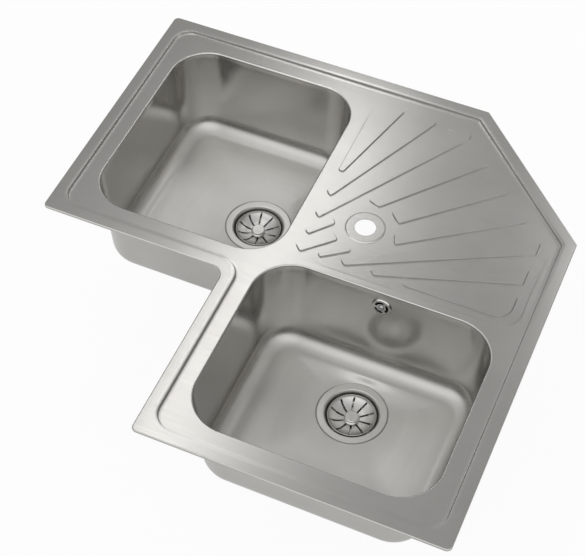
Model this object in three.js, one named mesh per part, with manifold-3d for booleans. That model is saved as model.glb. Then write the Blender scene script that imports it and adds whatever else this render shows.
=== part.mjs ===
// Corner kitchen sink: a pressed stainless deck with two drawn bowls, a sunray drainer in the corner,
// strainer wastes, one overflow and the fixing clips. Millimetres, +Z up.
// The origin is the centre of the square plan, on the worktop's surface. +Y points to one back wall and
// +X to the other. The diagonal x = y mirrors the part onto itself, but for the overflow and the last clip.
import * as THREE from 'three';
import { mergeVertices } from 'three/addons/utils/BufferGeometryUtils.js';
import Module from 'manifold-3d';

const wasm = await Module();
wasm.setup();

// Plan
const side = 830; // overall plan, both ways
const armWidth = 500; // each of the two arms
const chamfer = 226; // leg of the cut-off back corner
const cornerRadius = 9;
const chamferRadius = 5;
const innerRadius = 22; // the concave corner between the arms
const bowlMargin = 52; // outline to bowl, along an arm
const bowlBackMargin = 54; // outline to bowl, at the back walls
const bowlOverrun = 58; // inner edge of an arm to the bowl's side at the drainer
const bowlRadius = 68;

// Pressed sheet
const sheet = 0.8;
const rimRise = 4; // rim top over the worktop
const rimEdge = 2; // radius of the rim's outer edge
const rimWidth = 16; // flat rim, outline to step
const stepWidth = 13;
const stepDrop = 5; // rim top to deck
const stepRadius = 38; // at the inside of the step, in the five outer corners
const stepCutRadius = 30; // and at the cut-off corner
const bowlRoll = 6; // radius of the rolled edge into a bowl
const bowlNeck = 2; // straight flange under the rolled edge
const gap = 0.3; // between touching pieces

// Bowl
const bowlDepth = 190; // rim top to the floor at the drain
const floorFall = 9;
const bowlDraft = 4; // degrees
const floorFillet = 32;
const drainInset = 112; // bowl wall beside the drainer to the drain
const seatRadius = 60; // recess for the waste flange
const seatDepth = 2;
const drainRadius = 47;
const padSheet = 2;
const padGlue = 0.5;

// Drainer
const rayRise = 2;
const rayWall = 2.4;
const fieldOffset = 26; // bowl to the first ray
const fieldMargin = 54; // outline to the rays' outer ends
const cutMargin = 50; // and at the cut-off corner
const swageWidth = 10; // slope at the drainer's low side
const swageDrop = 2;
const swageMargin = 37; // outline to the swage's far end
const tapOffset = 89; // inner corner of the drainer to the tap
const tapHole = 35; // diameter
const landing = 70; // diameter
const landingRise = 1.5;

// Waste
const flangeRadius = 57.5;
const flangeSheet = 1.2;
const throatRadius = 44;
const throatDepth = 27;
const throatHoles = 6; // through the throat's floor, round the screw
const throatHoleRadius = 7;
const throatHoleRing = 21;
const basketRadius = 40.5;
const basketSheet = 1;
const basketDepth = 11;
const rimSink = 5; // basket's rim under the flange's top
const slots = 10;
const slotWidth = 2.2;
const knobRadius = 11.5;
const knobHeight = 7;
const gasketSheet = 2;
const cupRadius = 49;
const cupHeight = 56;
const cupWall = 2.5;
const outletRadius = 21;
const outletLength = 26;

// Overflow
const overflowDrop = 37; // rim top to the overflow
const rosetteRadius = 17;
const kidneyRing = 10; // radius of the middle line of its three openings
const kidneyWidth = 4;
const overflowHole = 13; // radius of the hole in the bowl
const housingDepth = 20;
const spigotRadius = 8;
const spigotLength = 18;
const hoseBore = 9;
const hoseRadius = 12.5;
const hoseBend = 45;
const ribPitch = 5.6;
const inletHeight = 34; // cup flange down to the hose inlet

// Fixing clips
const clipInset = 37.5; // outline to the clip's screw
const clipWidth = 16;
const clampDepth = 29; // thickest worktop
const clawReach = 36;
const clawWidth = 14;
const sealWidth = 9.5;
const sealInset = 3.5;

// Derived places
const half = side / 2;
const inner = half - armWidth; // the two inner edges, on x and on y
const rimTop = rimRise;
const deckTop = rimTop - stepDrop;
const bowlNear = inner + bowlMargin;
const bowlFar = half - bowlBackMargin;
const bowlOuter = -half + bowlMargin;
const bowlInner = inner + bowlOverrun;
const near = bowlInner + fieldOffset;
const far = half - fieldMargin;
const tap = near + tapOffset;
const cutEnd = half - chamfer / 2 - cutMargin * Math.SQRT1_2; // where the diagonal leaves the rays' field
const drainAlong = (bowlNear + bowlFar) / 2;
const drainAcross = bowlInner - drainInset;
const neckEnd = deckTop - bowlRoll - bowlNeck;
const floorAtDrain = rimTop - bowlDepth;
const floorAtWall = floorAtDrain + floorFall;
const seatTop = floorAtDrain - seatDepth;
const flangeTop = seatTop + gap + flangeSheet;

const steel = { color: 0x8c8b85, roughness: 0.34, metalness: 1 };
const brightSteel = { color: 0xa8a7a2, roughness: 0.2, metalness: 1 };
const zinc = { color: 0x9fa3a6, roughness: 0.45, metalness: 1 };
const plastic = { color: 0x2b2c2e, roughness: 0.55, metalness: 0 };
const greyPlastic = { color: 0xb9bab8, roughness: 0.5, metalness: 0 };
const rubber = { color: 0x1c1c1c, roughness: 0.85, metalness: 0 };
const foam = { color: 0x3a3a3c, roughness: 0.95, metalness: 0 };
const bitumen = { color: 0x4a4b4d, roughness: 0.9, metalness: 0 };

const group = new THREE.Group();

function place(name, geometry, finish, at = [0, 0, 0], turn = [0, 0, 0], parent = group) {
  geometry.computeVertexNormals();
  const mesh = new THREE.Mesh(geometry, new THREE.MeshStandardMaterial(finish));
  mesh.name = name;
  mesh.position.set(...at);
  mesh.rotation.set(...turn);
  parent.add(mesh);
  return mesh;
}

// ---- closed solids, joined and cut
function solid(geometry) {
  const bare = geometry.clone();
  bare.deleteAttribute('normal');
  bare.deleteAttribute('uv');
  const welded = mergeVertices(bare, 1e-4);
  const vertProperties = new Float32Array(welded.attributes.position.array);
  const triVerts = new Uint32Array(welded.index.array);
  return new wasm.Manifold(new wasm.Mesh({ numProp: 3, vertProperties, triVerts }));
}

function geometryOf(body) {
  const { vertProperties, triVerts } = body.getMesh();
  const geometry = new THREE.BufferGeometry();
  geometry.setAttribute('position', new THREE.BufferAttribute(vertProperties, 3));
  geometry.setIndex(new THREE.BufferAttribute(triVerts, 1));
  return geometry;
}

// A profile of [radius, z] points, anticlockwise with +Z up, turned about Z.
function turned(profile, segments) {
  const points = profile.map(([r, z]) => new THREE.Vector2(r, z));
  if (profile[0][0] > 0) points.push(points[0].clone());
  return new THREE.LatheGeometry(points, segments).rotateX(Math.PI / 2);
}

function cylinder(radius, bottom, top, segments = 12) {
  const bar = new THREE.CylinderGeometry(radius, radius, top - bottom, segments).rotateX(Math.PI / 2);
  return bar.translate(0, 0, (top + bottom) / 2);
}

function box(x0, x1, y0, y1, z0, z1) {
  const block = new THREE.BoxGeometry(x1 - x0, y1 - y0, z1 - z0);
  return block.translate((x0 + x1) / 2, (y0 + y1) / 2, (z0 + z1) / 2);
}

function prism(outline, height, holes = []) {
  const shape = new THREE.Shape(outline);
  shape.holes = holes.map((hole) => new THREE.Path(hole));
  return new THREE.ExtrudeGeometry(shape, { depth: height, bevelEnabled: false });
}

// ---- plan loops: corners of [x, y, radius], anticlockwise, moved inwards by an inset
function loop(corners, inset = 0, arcs = 4, fill = 0) {
  const count = corners.length;
  const edges = corners.map(([x, y], i) => {
    const [nextX, nextY] = corners[(i + 1) % count];
    const along = new THREE.Vector2(nextX - x, nextY - y).normalize();
    const start = new THREE.Vector2(x, y).add(new THREE.Vector2(-along.y, along.x).multiplyScalar(inset));
    return { start, along };
  });
  const bends = edges.map((edge, i) => {
    const before = edges[(i + count - 1) % count];
    const turn = before.along.cross(edge.along);
    const reach = edge.start.clone().sub(before.start).cross(edge.along) / turn;
    const tip = before.start.clone().addScaledVector(before.along, reach);
    const angle = Math.atan2(turn, before.along.dot(edge.along));
    const radius = Math.max(corners[i][2] - inset * Math.sign(turn), 0.4);
    const start = tip.clone().addScaledVector(before.along, -radius * Math.tan(Math.abs(angle) / 2));
    const normal = new THREE.Vector2(-before.along.y, before.along.x).multiplyScalar(Math.sign(turn));
    const centre = start.clone().addScaledVector(normal, radius);
    const steps = corners[i][3] ?? arcs;
    const bend = (_, k) => start.clone().rotateAround(centre, (angle * k) / steps);
    return Array.from({ length: steps + 1 }, bend);
  });
  return bends.flatMap((bend, i) => {
    const from = bend[bend.length - 1];
    const to = bends[(i + 1) % count][0];
    const between = Array.from({ length: fill }, (_, k) => from.clone().lerp(to, (k + 1) / (fill + 1)));
    return [...bend, ...between];
  });
}

const mirrored = (points) => points.map((p) => new THREE.Vector2(p.y, p.x)).reverse();

function circle(x, y, radius, count) {
  return Array.from({ length: count }, (_, i) => {
    const angle = (2 * Math.PI * i) / count;
    return new THREE.Vector2(x + radius * Math.cos(angle), y + radius * Math.sin(angle));
  });
}

// Even points on a circle, as many as another loop has, turned to lie as near to its points as they can.
function facingLoop(points, centre, radius) {
  const step = (2 * Math.PI) / points.length;
  const zero = new THREE.Vector2();
  const lean = new THREE.Vector2();
  points.forEach((p, i) => lean.add(p.clone().sub(centre).normalize().rotateAround(zero, -step * i)));
  const arm = new THREE.Vector2(radius, 0).rotateAround(zero, lean.angle());
  return points.map((_, i) => arm.clone().rotateAround(zero, step * i).add(centre));
}

// ---- a pressed sheet: rings of points on its upper face, each with a twin on its under face
class Sheet {
  constructor(thickness) {
    this.thickness = thickness;
    this.upper = [];
    this.under = [];
    this.faces = [];
    this.rims = [];
  }

  ring(points, z, underPoints = points, underZ = null) {
    const first = this.upper.length;
    points.forEach((p, i) => {
      const height = typeof z === 'function' ? z(p.x, p.y) : z;
      this.upper.push([p.x, p.y, height]);
      this.under.push([underPoints[i].x, underPoints[i].y, underZ ?? height - this.thickness]);
    });
    return { first, points };
  }

  strip(outer, inside) {
    const count = outer.points.length;
    for (let i = 0; i < count; i += 1) {
      const next = (i + 1) % count;
      this.faces.push([outer.first + i, outer.first + next, inside.first + next]);
      this.faces.push([outer.first + i, inside.first + next, inside.first + i]);
    }
  }

  flat(outer, holes = []) {
    const rings = [outer, ...holes];
    const numbers = rings.flatMap((ring) => ring.points.map((_, i) => ring.first + i));
    const plan = rings.flatMap((ring) => ring.points);
    for (const face of THREE.ShapeUtils.triangulateShape(outer.points, holes.map((hole) => hole.points))) {
      const [a, b, c] = face.map((i) => plan[i]);
      const upwards = b.clone().sub(a).cross(c.clone().sub(a)) > 0;
      const [i, j, k] = face.map((n) => numbers[n]);
      this.faces.push(upwards ? [i, j, k] : [i, k, j]);
    }
  }

  // The cut edge of the sheet, at a ring that ends it on the outside or round a hole.
  edge(ring, outside = false) {
    const count = ring.points.length;
    for (let i = 0; i < count; i += 1) {
      const a = ring.first + i;
      const b = ring.first + ((i + 1) % count);
      this.rims.push(outside ? [b, a] : [a, b]);
    }
  }

  geometry() {
    const offset = this.upper.length;
    const index = this.faces.flatMap(([a, b, c]) => [a, b, c, a + offset, c + offset, b + offset]);
    this.rims.forEach(([a, b]) => index.push(a, b, b + offset, a, b + offset, a + offset));
    const geometry = new THREE.BufferGeometry();
    const positions = [...this.upper, ...this.under].flat();
    geometry.setAttribute('position', new THREE.Float32BufferAttribute(positions, 3));
    geometry.setIndex(index);
    return geometry;
  }
}

// ---- outlines
function outline(back, cut, concave, arcs = 4) {
  return [
    [inner, inner, concave, arcs],
    [inner, -half, back, arcs],
    [half, -half, back, arcs],
    [half, half - chamfer, cut, 2],
    [half - chamfer, half, cut, 2],
    [-half, half, back, arcs],
    [-half, inner, back, arcs],
  ];
}

const rimCorners = outline(cornerRadius, chamferRadius, innerRadius);
const stepCorners = outline(stepRadius + rimWidth, stepCutRadius, innerRadius - rimWidth / 2, 5);
const bowlCorners = [
  [bowlOuter, bowlNear, bowlRadius],
  [bowlInner, bowlNear, bowlRadius],
  [bowlInner, bowlFar, bowlRadius],
  [bowlOuter, bowlFar, bowlRadius],
];

// The drainer's rays, each a four-cornered rib from its inner tip to its outer end. The first is the one
// beside the left bowl and the last lies on the diagonal; all but that one have a mirror twin. Their
// corners stand beside the bowl, round the tap, along the back and along the cut-off corner.
const tipRadius = 4.5;
const beside = (across, along) => [near + across, near + along];
const round = (across, along) => [tap + across, tap + along];
const back = (share, radius) => [near + share * (2 * cutEnd - far - near), far, radius];
const cut = (aside) => [cutEnd - aside, cutEnd + aside];
const rays = [
  [beside(0, 186), beside(11, 188), back(0.324), [near, far, 28]],
  [beside(11, 126), back(0.688, 8), back(0.451), beside(0, 138)],
  [beside(11, 76), back(1.11, 14), back(0.832), beside(0, 87)],
  [round(5, 48), cut(34.5), cut(62.5), round(-18, 56)],
  [beside(9, 37), round(-47, -13), round(-56, 0), beside(0, 45)],
];
const diagonalRays = [
  [round(47, 27), cut(-14.5), cut(14.5), round(27, 47)],
  [beside(11, -2), round(-30, -43), round(-43, -30), beside(-2, 11)],
];

// The drainer's low side: level with the deck along a line from its inner corner to the far end of its
// swage, and falling from there to the corner beside the right bowl.
const swageNear = near - 13;
const swageRight = half - swageMargin;
const swageEnd = half - chamfer - swageMargin;
const swageStart = near;
const swageRadius = 34;

function fieldHeight(x, y) {
  const run = swageRight - swageStart;
  const rise = swageEnd - swageNear;
  const below = ((x - swageStart) * rise - (y - swageNear) * run) / run;
  return deckTop - (swageDrop * Math.max(0, below)) / rise;
}

function swage() {
  const bottom = [0.25, 0.5, 0.75, 1].map((share) => {
    const x = THREE.MathUtils.lerp(swageStart, swageRight - swageRadius, share);
    return new THREE.Vector2(x, swageNear);
  });
  const centre = new THREE.Vector2(swageRight - swageRadius, swageNear + swageRadius);
  const bend = [1, 2, 3, 4].map((k) => bottom[3].clone().rotateAround(centre, (Math.PI / 8) * k));
  const middle = new THREE.Vector2(swageRight, (swageNear + swageRadius + swageEnd) / 2);
  const land = [...bottom, ...bend, middle];
  const field = land.map((p, i) => {
    const before = land[Math.max(i - 1, 0)];
    const after = land[Math.min(i + 1, land.length - 1)];
    const along = after.clone().sub(before).normalize();
    const width = swageWidth * Math.min(1, (i + 1) / 2, (land.length - i) / 2);
    return p.clone().add(new THREE.Vector2(-along.y, along.x).multiplyScalar(width));
  });
  const start = new THREE.Vector2(swageStart, swageNear);
  const end = new THREE.Vector2(swageRight, swageEnd);
  return { start, end, land, field };
}

// ---- the deck
function deck() {
  const body = new Sheet(sheet);
  const outside = loop(rimCorners);
  const inside = loop(rimCorners, sheet);
  const lipEnd = body.ring(outside, 0, inside, 0);
  const lip = body.ring(outside, rimTop - rimEdge, inside, rimTop - rimEdge);
  const slant = rimEdge * (1 - Math.SQRT1_2);
  const under = slant + sheet * Math.SQRT1_2;
  const lipBend = loop(rimCorners, slant);
  const lipRound = body.ring(lipBend, rimTop - slant, loop(rimCorners, under), rimTop - under);
  const rim = body.ring(loop(rimCorners, rimEdge), rimTop);
  body.edge(lipEnd, true);
  body.strip(lipEnd, lip);
  body.strip(lip, lipRound);
  body.strip(lipRound, rim);

  // The step is an S from the rim down to the deck.
  const steps = [0, 0.25, 0.5, 0.75, 1].map((share) => {
    const drop = (stepDrop * (1 - Math.cos(Math.PI * share))) / 2;
    return body.ring(loop(stepCorners, rimWidth + stepWidth * share), rimTop - drop);
  });
  body.flat(rim, [steps[0]]);
  steps.slice(1).forEach((step, i) => body.strip(steps[i], step));

  // Rolled edges into the bowls
  const holes = [(points) => points, mirrored].map((copy) => {
    const at = (inset) => copy(loop(bowlCorners, inset, 5));
    const rollOut = bowlRoll * (1 - Math.SQRT1_2);
    const under = rollOut + sheet * Math.SQRT1_2;
    const top = body.ring(at(-bowlRoll), deckTop);
    const roll = body.ring(at(-rollOut), deckTop - rollOut, at(-under), deckTop - under);
    const neck = body.ring(at(0), deckTop - bowlRoll, at(-sheet), deckTop - bowlRoll);
    const end = body.ring(at(0), neckEnd, at(-sheet), neckEnd);
    body.strip(top, roll);
    body.strip(roll, neck);
    body.strip(neck, end);
    body.edge(end);
    return top;
  });

  // Raised rays
  const outlines = [...rays.map((ray) => [ray, false]), ...rays.map((ray) => [ray, true])];
  diagonalRays.forEach((ray) => outlines.push([ray, false]));
  const ribs = outlines.map(([ray, swap]) => {
    const corners = ray.map(([x, y, radius]) => [x, y, radius ?? tipRadius, 2]);
    const at = (inset) => (swap ? mirrored(loop(corners, inset)) : loop(corners, inset));
    const foot = body.ring(at(0), fieldHeight);
    const wall = body.ring(at(rayWall * 0.7), (x, y) => fieldHeight(x, y) + rayRise * 0.8);
    const crown = body.ring(at(rayWall), (x, y) => fieldHeight(x, y) + rayRise);
    body.strip(foot, wall);
    body.strip(wall, crown);
    body.flat(crown);
    return foot;
  });

  // Tap landing
  const around = (radius, z) => body.ring(circle(tap, tap, radius, 20), z);
  const foot = around(landing / 2, deckTop);
  const shoulder = around(landing / 2 - 2.5, deckTop + landingRise * 0.8);
  const seat = around(landing / 2 - 4, deckTop + landingRise);
  const hole = around(tapHole / 2, deckTop + landingRise);
  body.strip(foot, shoulder);
  body.strip(shoulder, seat);
  body.strip(seat, hole);
  body.edge(hole);

  // The swage is a sliver between the land and the field, closed at both ends.
  const { start, end, land, field } = swage();
  const sliver = [start, ...land, end, ...field.slice().reverse()];
  const onLand = new Set([start, ...land, end]);
  const edge = body.ring(sliver, (x, y) => {
    const point = sliver.find((p) => p.x === x && p.y === y);
    return onLand.has(point) ? deckTop : fieldHeight(x, y);
  });
  body.flat(edge);
  body.flat(steps[4], [...holes, ...ribs, foot, edge]);
  return body.geometry();
}

place('deck', deck(), steel);

// ---- bowls, drawn from the same sheet and welded to the deck's necks
const draft = THREE.MathUtils.degToRad(bowlDraft);
const wallTop = neckEnd - gap;
const filletZ = floorAtWall + floorFillet;
const wallInset = Math.tan(draft) * (wallTop - filletZ + floorFillet * Math.sin(draft));
const filletInset = wallInset + floorFillet * Math.cos(draft);
const drain = new THREE.Vector2(drainAcross, drainAlong);
const bowlLoop = (inset) => loop(bowlCorners, inset, 4, 2);

function bowl() {
  const body = new Sheet(sheet);
  const top = body.ring(bowlLoop(0), wallTop, bowlLoop(-sheet), wallTop);
  body.edge(top, true);
  let last = top;
  for (const share of [0, 1 / 3, 2 / 3, 1]) {
    const angle = THREE.MathUtils.lerp(draft, Math.PI / 2, share);
    const at = (radius) => filletInset - radius * Math.cos(angle);
    const z = (radius) => filletZ - radius * Math.sin(angle);
    const outer = floorFillet + sheet;
    const ring = body.ring(bowlLoop(at(floorFillet)), z(floorFillet), bowlLoop(at(outer)), z(outer));
    body.strip(last, ring);
    last = ring;
  }
  const seat = [[seatRadius, floorAtDrain], [seatRadius - 2, seatTop], [drainRadius, seatTop]];
  for (const [radius, z] of seat) {
    const ring = body.ring(facingLoop(last.points, drain, radius), z);
    body.strip(last, ring);
    last = ring;
  }
  body.edge(last);
  return body.geometry();
}

// Turns a solid over into its mirror twin in the diagonal plane x = y.
function twin(geometry) {
  const copy = geometry.clone();
  const { array } = copy.attributes.position;
  for (let i = 0; i < array.length; i += 3) [array[i], array[i + 1]] = [array[i + 1], array[i]];
  const index = copy.index.array;
  for (let i = 0; i < index.length; i += 3) [index[i], index[i + 1]] = [index[i + 1], index[i]];
  return copy;
}

const overflowZ = rimTop - overflowDrop;
const overflowTilt = -draft;
const wallAt = (z) => bowlInner - Math.tan(draft) * (wallTop - z);
const overflowY = wallAt(overflowZ);

// Everything of the overflow is made about +Z, the way it faces, and turned to face out of the wall.
function facing(geometry) {
  return geometry.rotateX(Math.PI / 2 + overflowTilt).translate(drainAlong, overflowY, overflowZ);
}

place('bowl_left', bowl(), steel);
const rightBowl = solid(twin(bowl())).subtract(solid(facing(cylinder(overflowHole, -8, 8, 16))));
place('bowl_right', geometryOf(rightBowl), steel);

// ---- sound pads, stuck to the bowls' floors
function pad() {
  const body = new Sheet(padSheet);
  const floor = bowlLoop(filletInset);
  const seat = facingLoop(floor, drain, seatRadius);
  const at = (share) => {
    const z = THREE.MathUtils.lerp(floorAtWall, floorAtDrain, share) - sheet - padGlue;
    return body.ring(floor.map((p, i) => p.clone().lerp(seat[i], share)), z);
  };
  const outer = at(0.1);
  const inside = at(0.85);
  body.strip(outer, inside);
  body.edge(outer, true);
  body.edge(inside);
  return body.geometry();
}

place('sound_pad_left', pad(), bitumen);
place('sound_pad_right', twin(pad()), bitumen);

// ---- foam seal between the rim and the worktop
const sealHeight = rimTop - sheet - gap;
const sealInside = loop(rimCorners, sealInset + sealWidth);
place('rim_seal', prism(loop(rimCorners, sealInset), sealHeight, [sealInside]), foam);

// ---- wastes
const gasketTop = seatTop - sheet - gap;
const cupTop = gasketTop - gasketSheet - gap;
const cupFloor = cupTop - cupHeight;
const outletEnd = cupFloor - outletLength;
const outletBore = outletRadius - 4;
const outletThread = outletRadius - 1;
const nutBottom = outletEnd - 6;
const throatFloor = flangeTop - throatDepth;
const plugSheet = 3; // seal under the basket
const plugRadius = 30.5;
const boltRadius = 3;

function wasteFlange() {
  const t = flangeSheet;
  const top = flangeTop;
  const profile = [
    [boltRadius + gap, throatFloor - t],
    [throatRadius - 9, throatFloor - t],
    [throatRadius - 3, throatFloor + 3],
    [throatRadius + 1, top - 3],
    [throatRadius + 2.2, top - t],
    [flangeRadius, top - t],
    [flangeRadius - 0.5, top],
    [throatRadius + 2.6, top],
    [throatRadius + 0.6, top - 0.8],
    [throatRadius, top - 2.6],
    [throatRadius - 4.1, throatFloor + 3.4],
    [throatRadius - 9.5, throatFloor],
    [boltRadius + gap, throatFloor],
  ];
  let body = solid(turned(profile, 24));
  const hole = cylinder(throatHoleRadius, throatFloor - 4, throatFloor + 4, 8);
  const cutter = solid(hole.translate(throatHoleRing, 0, 0));
  for (let i = 0; i < throatHoles; i += 1) {
    body = body.subtract(cutter.rotate([0, 0, (360 * i) / throatHoles]));
  }
  return geometryOf(body);
}

// A strainer slot: a band that starts straight out from the knob and bends clockwise as it runs out.
function slotBand() {
  const from = knobRadius + 3;
  const to = basketRadius - 6.5;
  const bend = 0.32; // radians round the axis, from one end to the other
  const axis = new THREE.Vector2();
  const line = (side) => [0, 0.25, 0.5, 0.75, 1].map((share) => {
    const point = new THREE.Vector2(THREE.MathUtils.lerp(from, to, share), (side * slotWidth) / 2);
    return point.rotateAround(axis, -bend * share ** 2);
  });
  return [...line(-1), ...line(1).reverse()];
}

const basketRim = flangeTop - rimSink;
const dishAt = (radius) => basketRim - basketDepth * (1 - (radius / basketRadius) ** 2);
const hubRadius = 5.4;
const hubFloor = dishAt(knobRadius + 2);

function basket() {
  const t = basketSheet;
  const dish = [basketRadius - 1, basketRadius - 6, basketRadius - 15, knobRadius + 2];
  const profile = [
    [hubRadius, hubFloor - t],
    ...dish.slice().reverse().map((radius) => [radius, dishAt(radius) - t]),
    [basketRadius, basketRim - t],
    [basketRadius, basketRim],
    ...dish.map((radius) => [radius, dishAt(radius)]),
    [hubRadius, hubFloor],
  ];
  let body = solid(turned(profile, 24));
  const cutter = solid(prism(slotBand(), 2 * basketDepth).translate(0, 0, hubFloor - basketDepth / 2));
  for (let i = 0; i < slots; i += 1) body = body.subtract(cutter.rotate([0, 0, (360 * i) / slots]));
  return geometryOf(body);
}

const plugTop = throatFloor + gap + plugSheet;
const knobTop = hubFloor + knobHeight;

// A stem through the basket under a squat cap with a groove for the fingers.
function knob() {
  const foot = hubFloor + gap;
  const profile = [
    [0, plugTop + 2.2],
    [hubRadius - 0.4, plugTop + 2.2],
    [hubRadius - 0.4, foot],
    [knobRadius + 1.5, foot],
    [knobRadius - 1, foot + 2.2],
    [knobRadius - 1.5, knobTop - 2.6],
    [knobRadius, knobTop - 2],
    [knobRadius, knobTop - 0.8],
    [knobRadius - 1.6, knobTop],
    [0, knobTop + 0.4],
  ];
  return turned(profile, 20);
}

// A round washer or ring of a plain square section.
const ring = (bore, radius, bottom, top, segments = 16) => (
  turned([[bore, bottom], [radius, bottom], [radius, top], [bore, top]], segments)
);

function cup(withInlet) {
  const wall = cupWall;
  const inletZ = cupTop - inletHeight;
  const profile = [
    [outletBore, outletEnd],
    [outletThread, outletEnd],
    [outletThread, cupFloor + 2],
    [cupRadius - 12, cupFloor + 6],
    [cupRadius - 3, cupFloor + 18],
    [cupRadius, cupTop - 5],
    [flangeRadius - 1.5, cupTop - 4],
    [flangeRadius - 1.5, cupTop],
    [cupRadius - wall, cupTop],
    [cupRadius - 3 - wall, cupFloor + 18],
    [cupRadius - 13, cupFloor + 6 + wall],
    [outletBore, cupFloor + 2 + wall],
  ];
  let body = solid(turned(profile, 20));
  const bossTop = throatFloor - flangeSheet - 8;
  const bossEnd = bossTop - 14;
  const bore = solid(cylinder(boltRadius + gap, bossEnd - 5, bossTop + 5, 8));
  for (let i = 0; i < 3; i += 1) {
    const web = solid(box(0, cupRadius - 5.5, -1.2, 1.2, bossEnd + 2, bossTop - 2));
    body = body.add(web.rotate([0, 0, 30 + 120 * i]));
  }
  body = body.add(solid(cylinder(6.5, bossEnd, bossTop, 8))).subtract(bore);
  if (withInlet) {
    const pipe = (radius, from, to) => solid(cylinder(radius, from, to, 10).rotateX(-Math.PI / 2));
    const start = cupRadius - 4;
    const end = cupRadius + spigotLength;
    body = body.add(pipe(spigotRadius, start, end).translate([0, 0, inletZ]));
    body = body.subtract(pipe(spigotRadius - 2, start - 8, end + 1).translate([0, 0, inletZ]));
  }
  return geometryOf(body);
}

function bolt() {
  const seat = throatFloor + gap;
  const end = throatFloor - flangeSheet - 20;
  const profile = [
    [0, end],
    [boltRadius, end],
    [boltRadius, seat],
    [5.5, seat],
    [5.5, seat + 1.4],
    [3.6, seat + 2.6],
    [0, seat + 2.6],
  ];
  return turned(profile, 8);
}

function outletNut() {
  const lobes = Array.from({ length: 24 }, (_, i) => {
    const angle = (Math.PI * i) / 12;
    const radius = outletRadius + 6 + Math.cos(8 * angle);
    return new THREE.Vector2(radius * Math.cos(angle), radius * Math.sin(angle));
  });
  const height = 16;
  const grip = solid(prism(lobes, height).translate(0, 0, nutBottom));
  const thread = solid(cylinder(outletThread + gap, nutBottom + 2, nutBottom + height + 1, 20));
  const mouth = solid(cylinder(outletBore, nutBottom - 1, nutBottom + 3, 20));
  return geometryOf(grip.subtract(thread).subtract(mouth));
}

for (const [name, x, y] of [['left', drainAcross, drainAlong], ['right', drainAlong, drainAcross]]) {
  const waste = new THREE.Group();
  waste.position.set(x, y, 0);
  group.add(waste);
  const put = (piece, geometry, finish) => {
    place(`${piece}_${name}`, geometry, finish, [0, 0, 0], [0, 0, 0], waste);
  };
  put('waste_flange', wasteFlange(), brightSteel);
  put('floor_gasket', ring(drainRadius + 1, flangeRadius - 2, gasketTop - gasketSheet, gasketTop), rubber);
  put('waste_cup', cup(name === 'right'), plastic);
  put('cup_bolt', bolt(), zinc);
  put('basket', basket(), brightSteel);
  put('basket_knob', knob(), brightSteel);
  put('plug_plate', ring(boltRadius, plugRadius - 3.5, plugTop + gap, plugTop + 1.9), brightSteel);
  put('plug_seal', ring(boltRadius + 4, plugRadius, throatFloor + gap, plugTop), rubber);
  put('outlet_washer', ring(outletBore, outletThread, nutBottom + 2 + gap, outletEnd - gap), rubber);
  put('outlet_nut', outletNut(), plastic);
}

// ---- overflow, on the back wall of the right bowl
function rosette() {
  const profile = [
    [2.6, gap],
    [rosetteRadius, gap],
    [rosetteRadius, 1],
    [rosetteRadius - 1.6, 2.4],
    [rosetteRadius - 5, 3],
    [2.6, 2.2],
  ];
  let body = solid(turned(profile, 20));
  const kidney = new THREE.Shape();
  const reach = 0.72;
  kidney.absarc(0, 0, kidneyRing + kidneyWidth / 2, -reach, reach, false);
  kidney.absarc(0, 0, kidneyRing - kidneyWidth / 2, reach, -reach, true);
  const cutter = new THREE.ExtrudeGeometry(kidney, { depth: 6, bevelEnabled: false, curveSegments: 4 });
  const opening = solid(cutter.translate(0, 0, -1));
  for (const angle of [0, 120, 240]) body = body.subtract(opening.rotate([0, 0, angle]));
  return geometryOf(body);
}

const gasketBack = -sheet - gap;
const housingFront = gasketBack - gasketSheet - gap;
const housingBack = housingFront - housingDepth;
const hoseY = overflowY + 16.5;
const housingRadius = overflowHole + 4;
const housingFlange = housingRadius + 2.5;
const spigotTop = overflowZ - housingRadius + 3;
const spigotEnd = spigotTop - spigotLength - 4;

function housing() {
  const cylinderAt = (radius, from, to, segments) => solid(facing(cylinder(radius, from, to, segments)));
  const spigot = (radius, from, to) => solid(cylinder(radius, from, to, 10).translate(drainAlong, hoseY, 0));
  const shell = cylinderAt(housingRadius, housingBack, housingFront, 20)
    .add(cylinderAt(housingFlange, housingFront - 3, housingFront, 20))
    .add(spigot(spigotRadius, spigotEnd, spigotTop + 6))
    .subtract(cylinderAt(overflowHole, housingBack + 2.5, housingFront + 2, 16))
    .subtract(spigot(spigotRadius - 2, spigotEnd - 1, spigotTop + 8))
    .add(cylinderAt(4.5, housingBack + 1, housingFront - 4, 10))
    .subtract(cylinderAt(boltRadius - 0.8, housingBack + 6, housingFront, 10));
  return geometryOf(shell);
}

function overflowScrew() {
  const profile = [
    [0, housingFront - 8],
    [1.9, housingFront - 8],
    [1.9, 2.2 + gap],
    [4.2, 2.2 + gap],
    [3.6, 4],
    [0, 4.6],
  ];
  return turned(profile, 10);
}

place('overflow_rosette', facing(rosette()), brightSteel);
place('overflow_screw', facing(overflowScrew()), zinc);
const overflowGasket = ring(overflowHole + 1, housingFlange, gasketBack - gasketSheet, gasketBack, 20);
place('overflow_gasket', facing(overflowGasket), rubber);
place('overflow_housing', housing(), plastic);

// The hose drops behind the bowl, bends under it and ends on the cup's inlet.
const hoseTop = spigotTop - 6;
const inletZ = cupTop - inletHeight;
const hoseEnd = drainAcross + cupRadius + 5;
const bendZ = inletZ + hoseBend;
const drop = hoseTop - bendZ;
const bendLength = (hoseBend * Math.PI) / 2;
const runIn = hoseY - hoseBend - hoseEnd;
const hoseLength = drop + bendLength + runIn;

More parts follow.
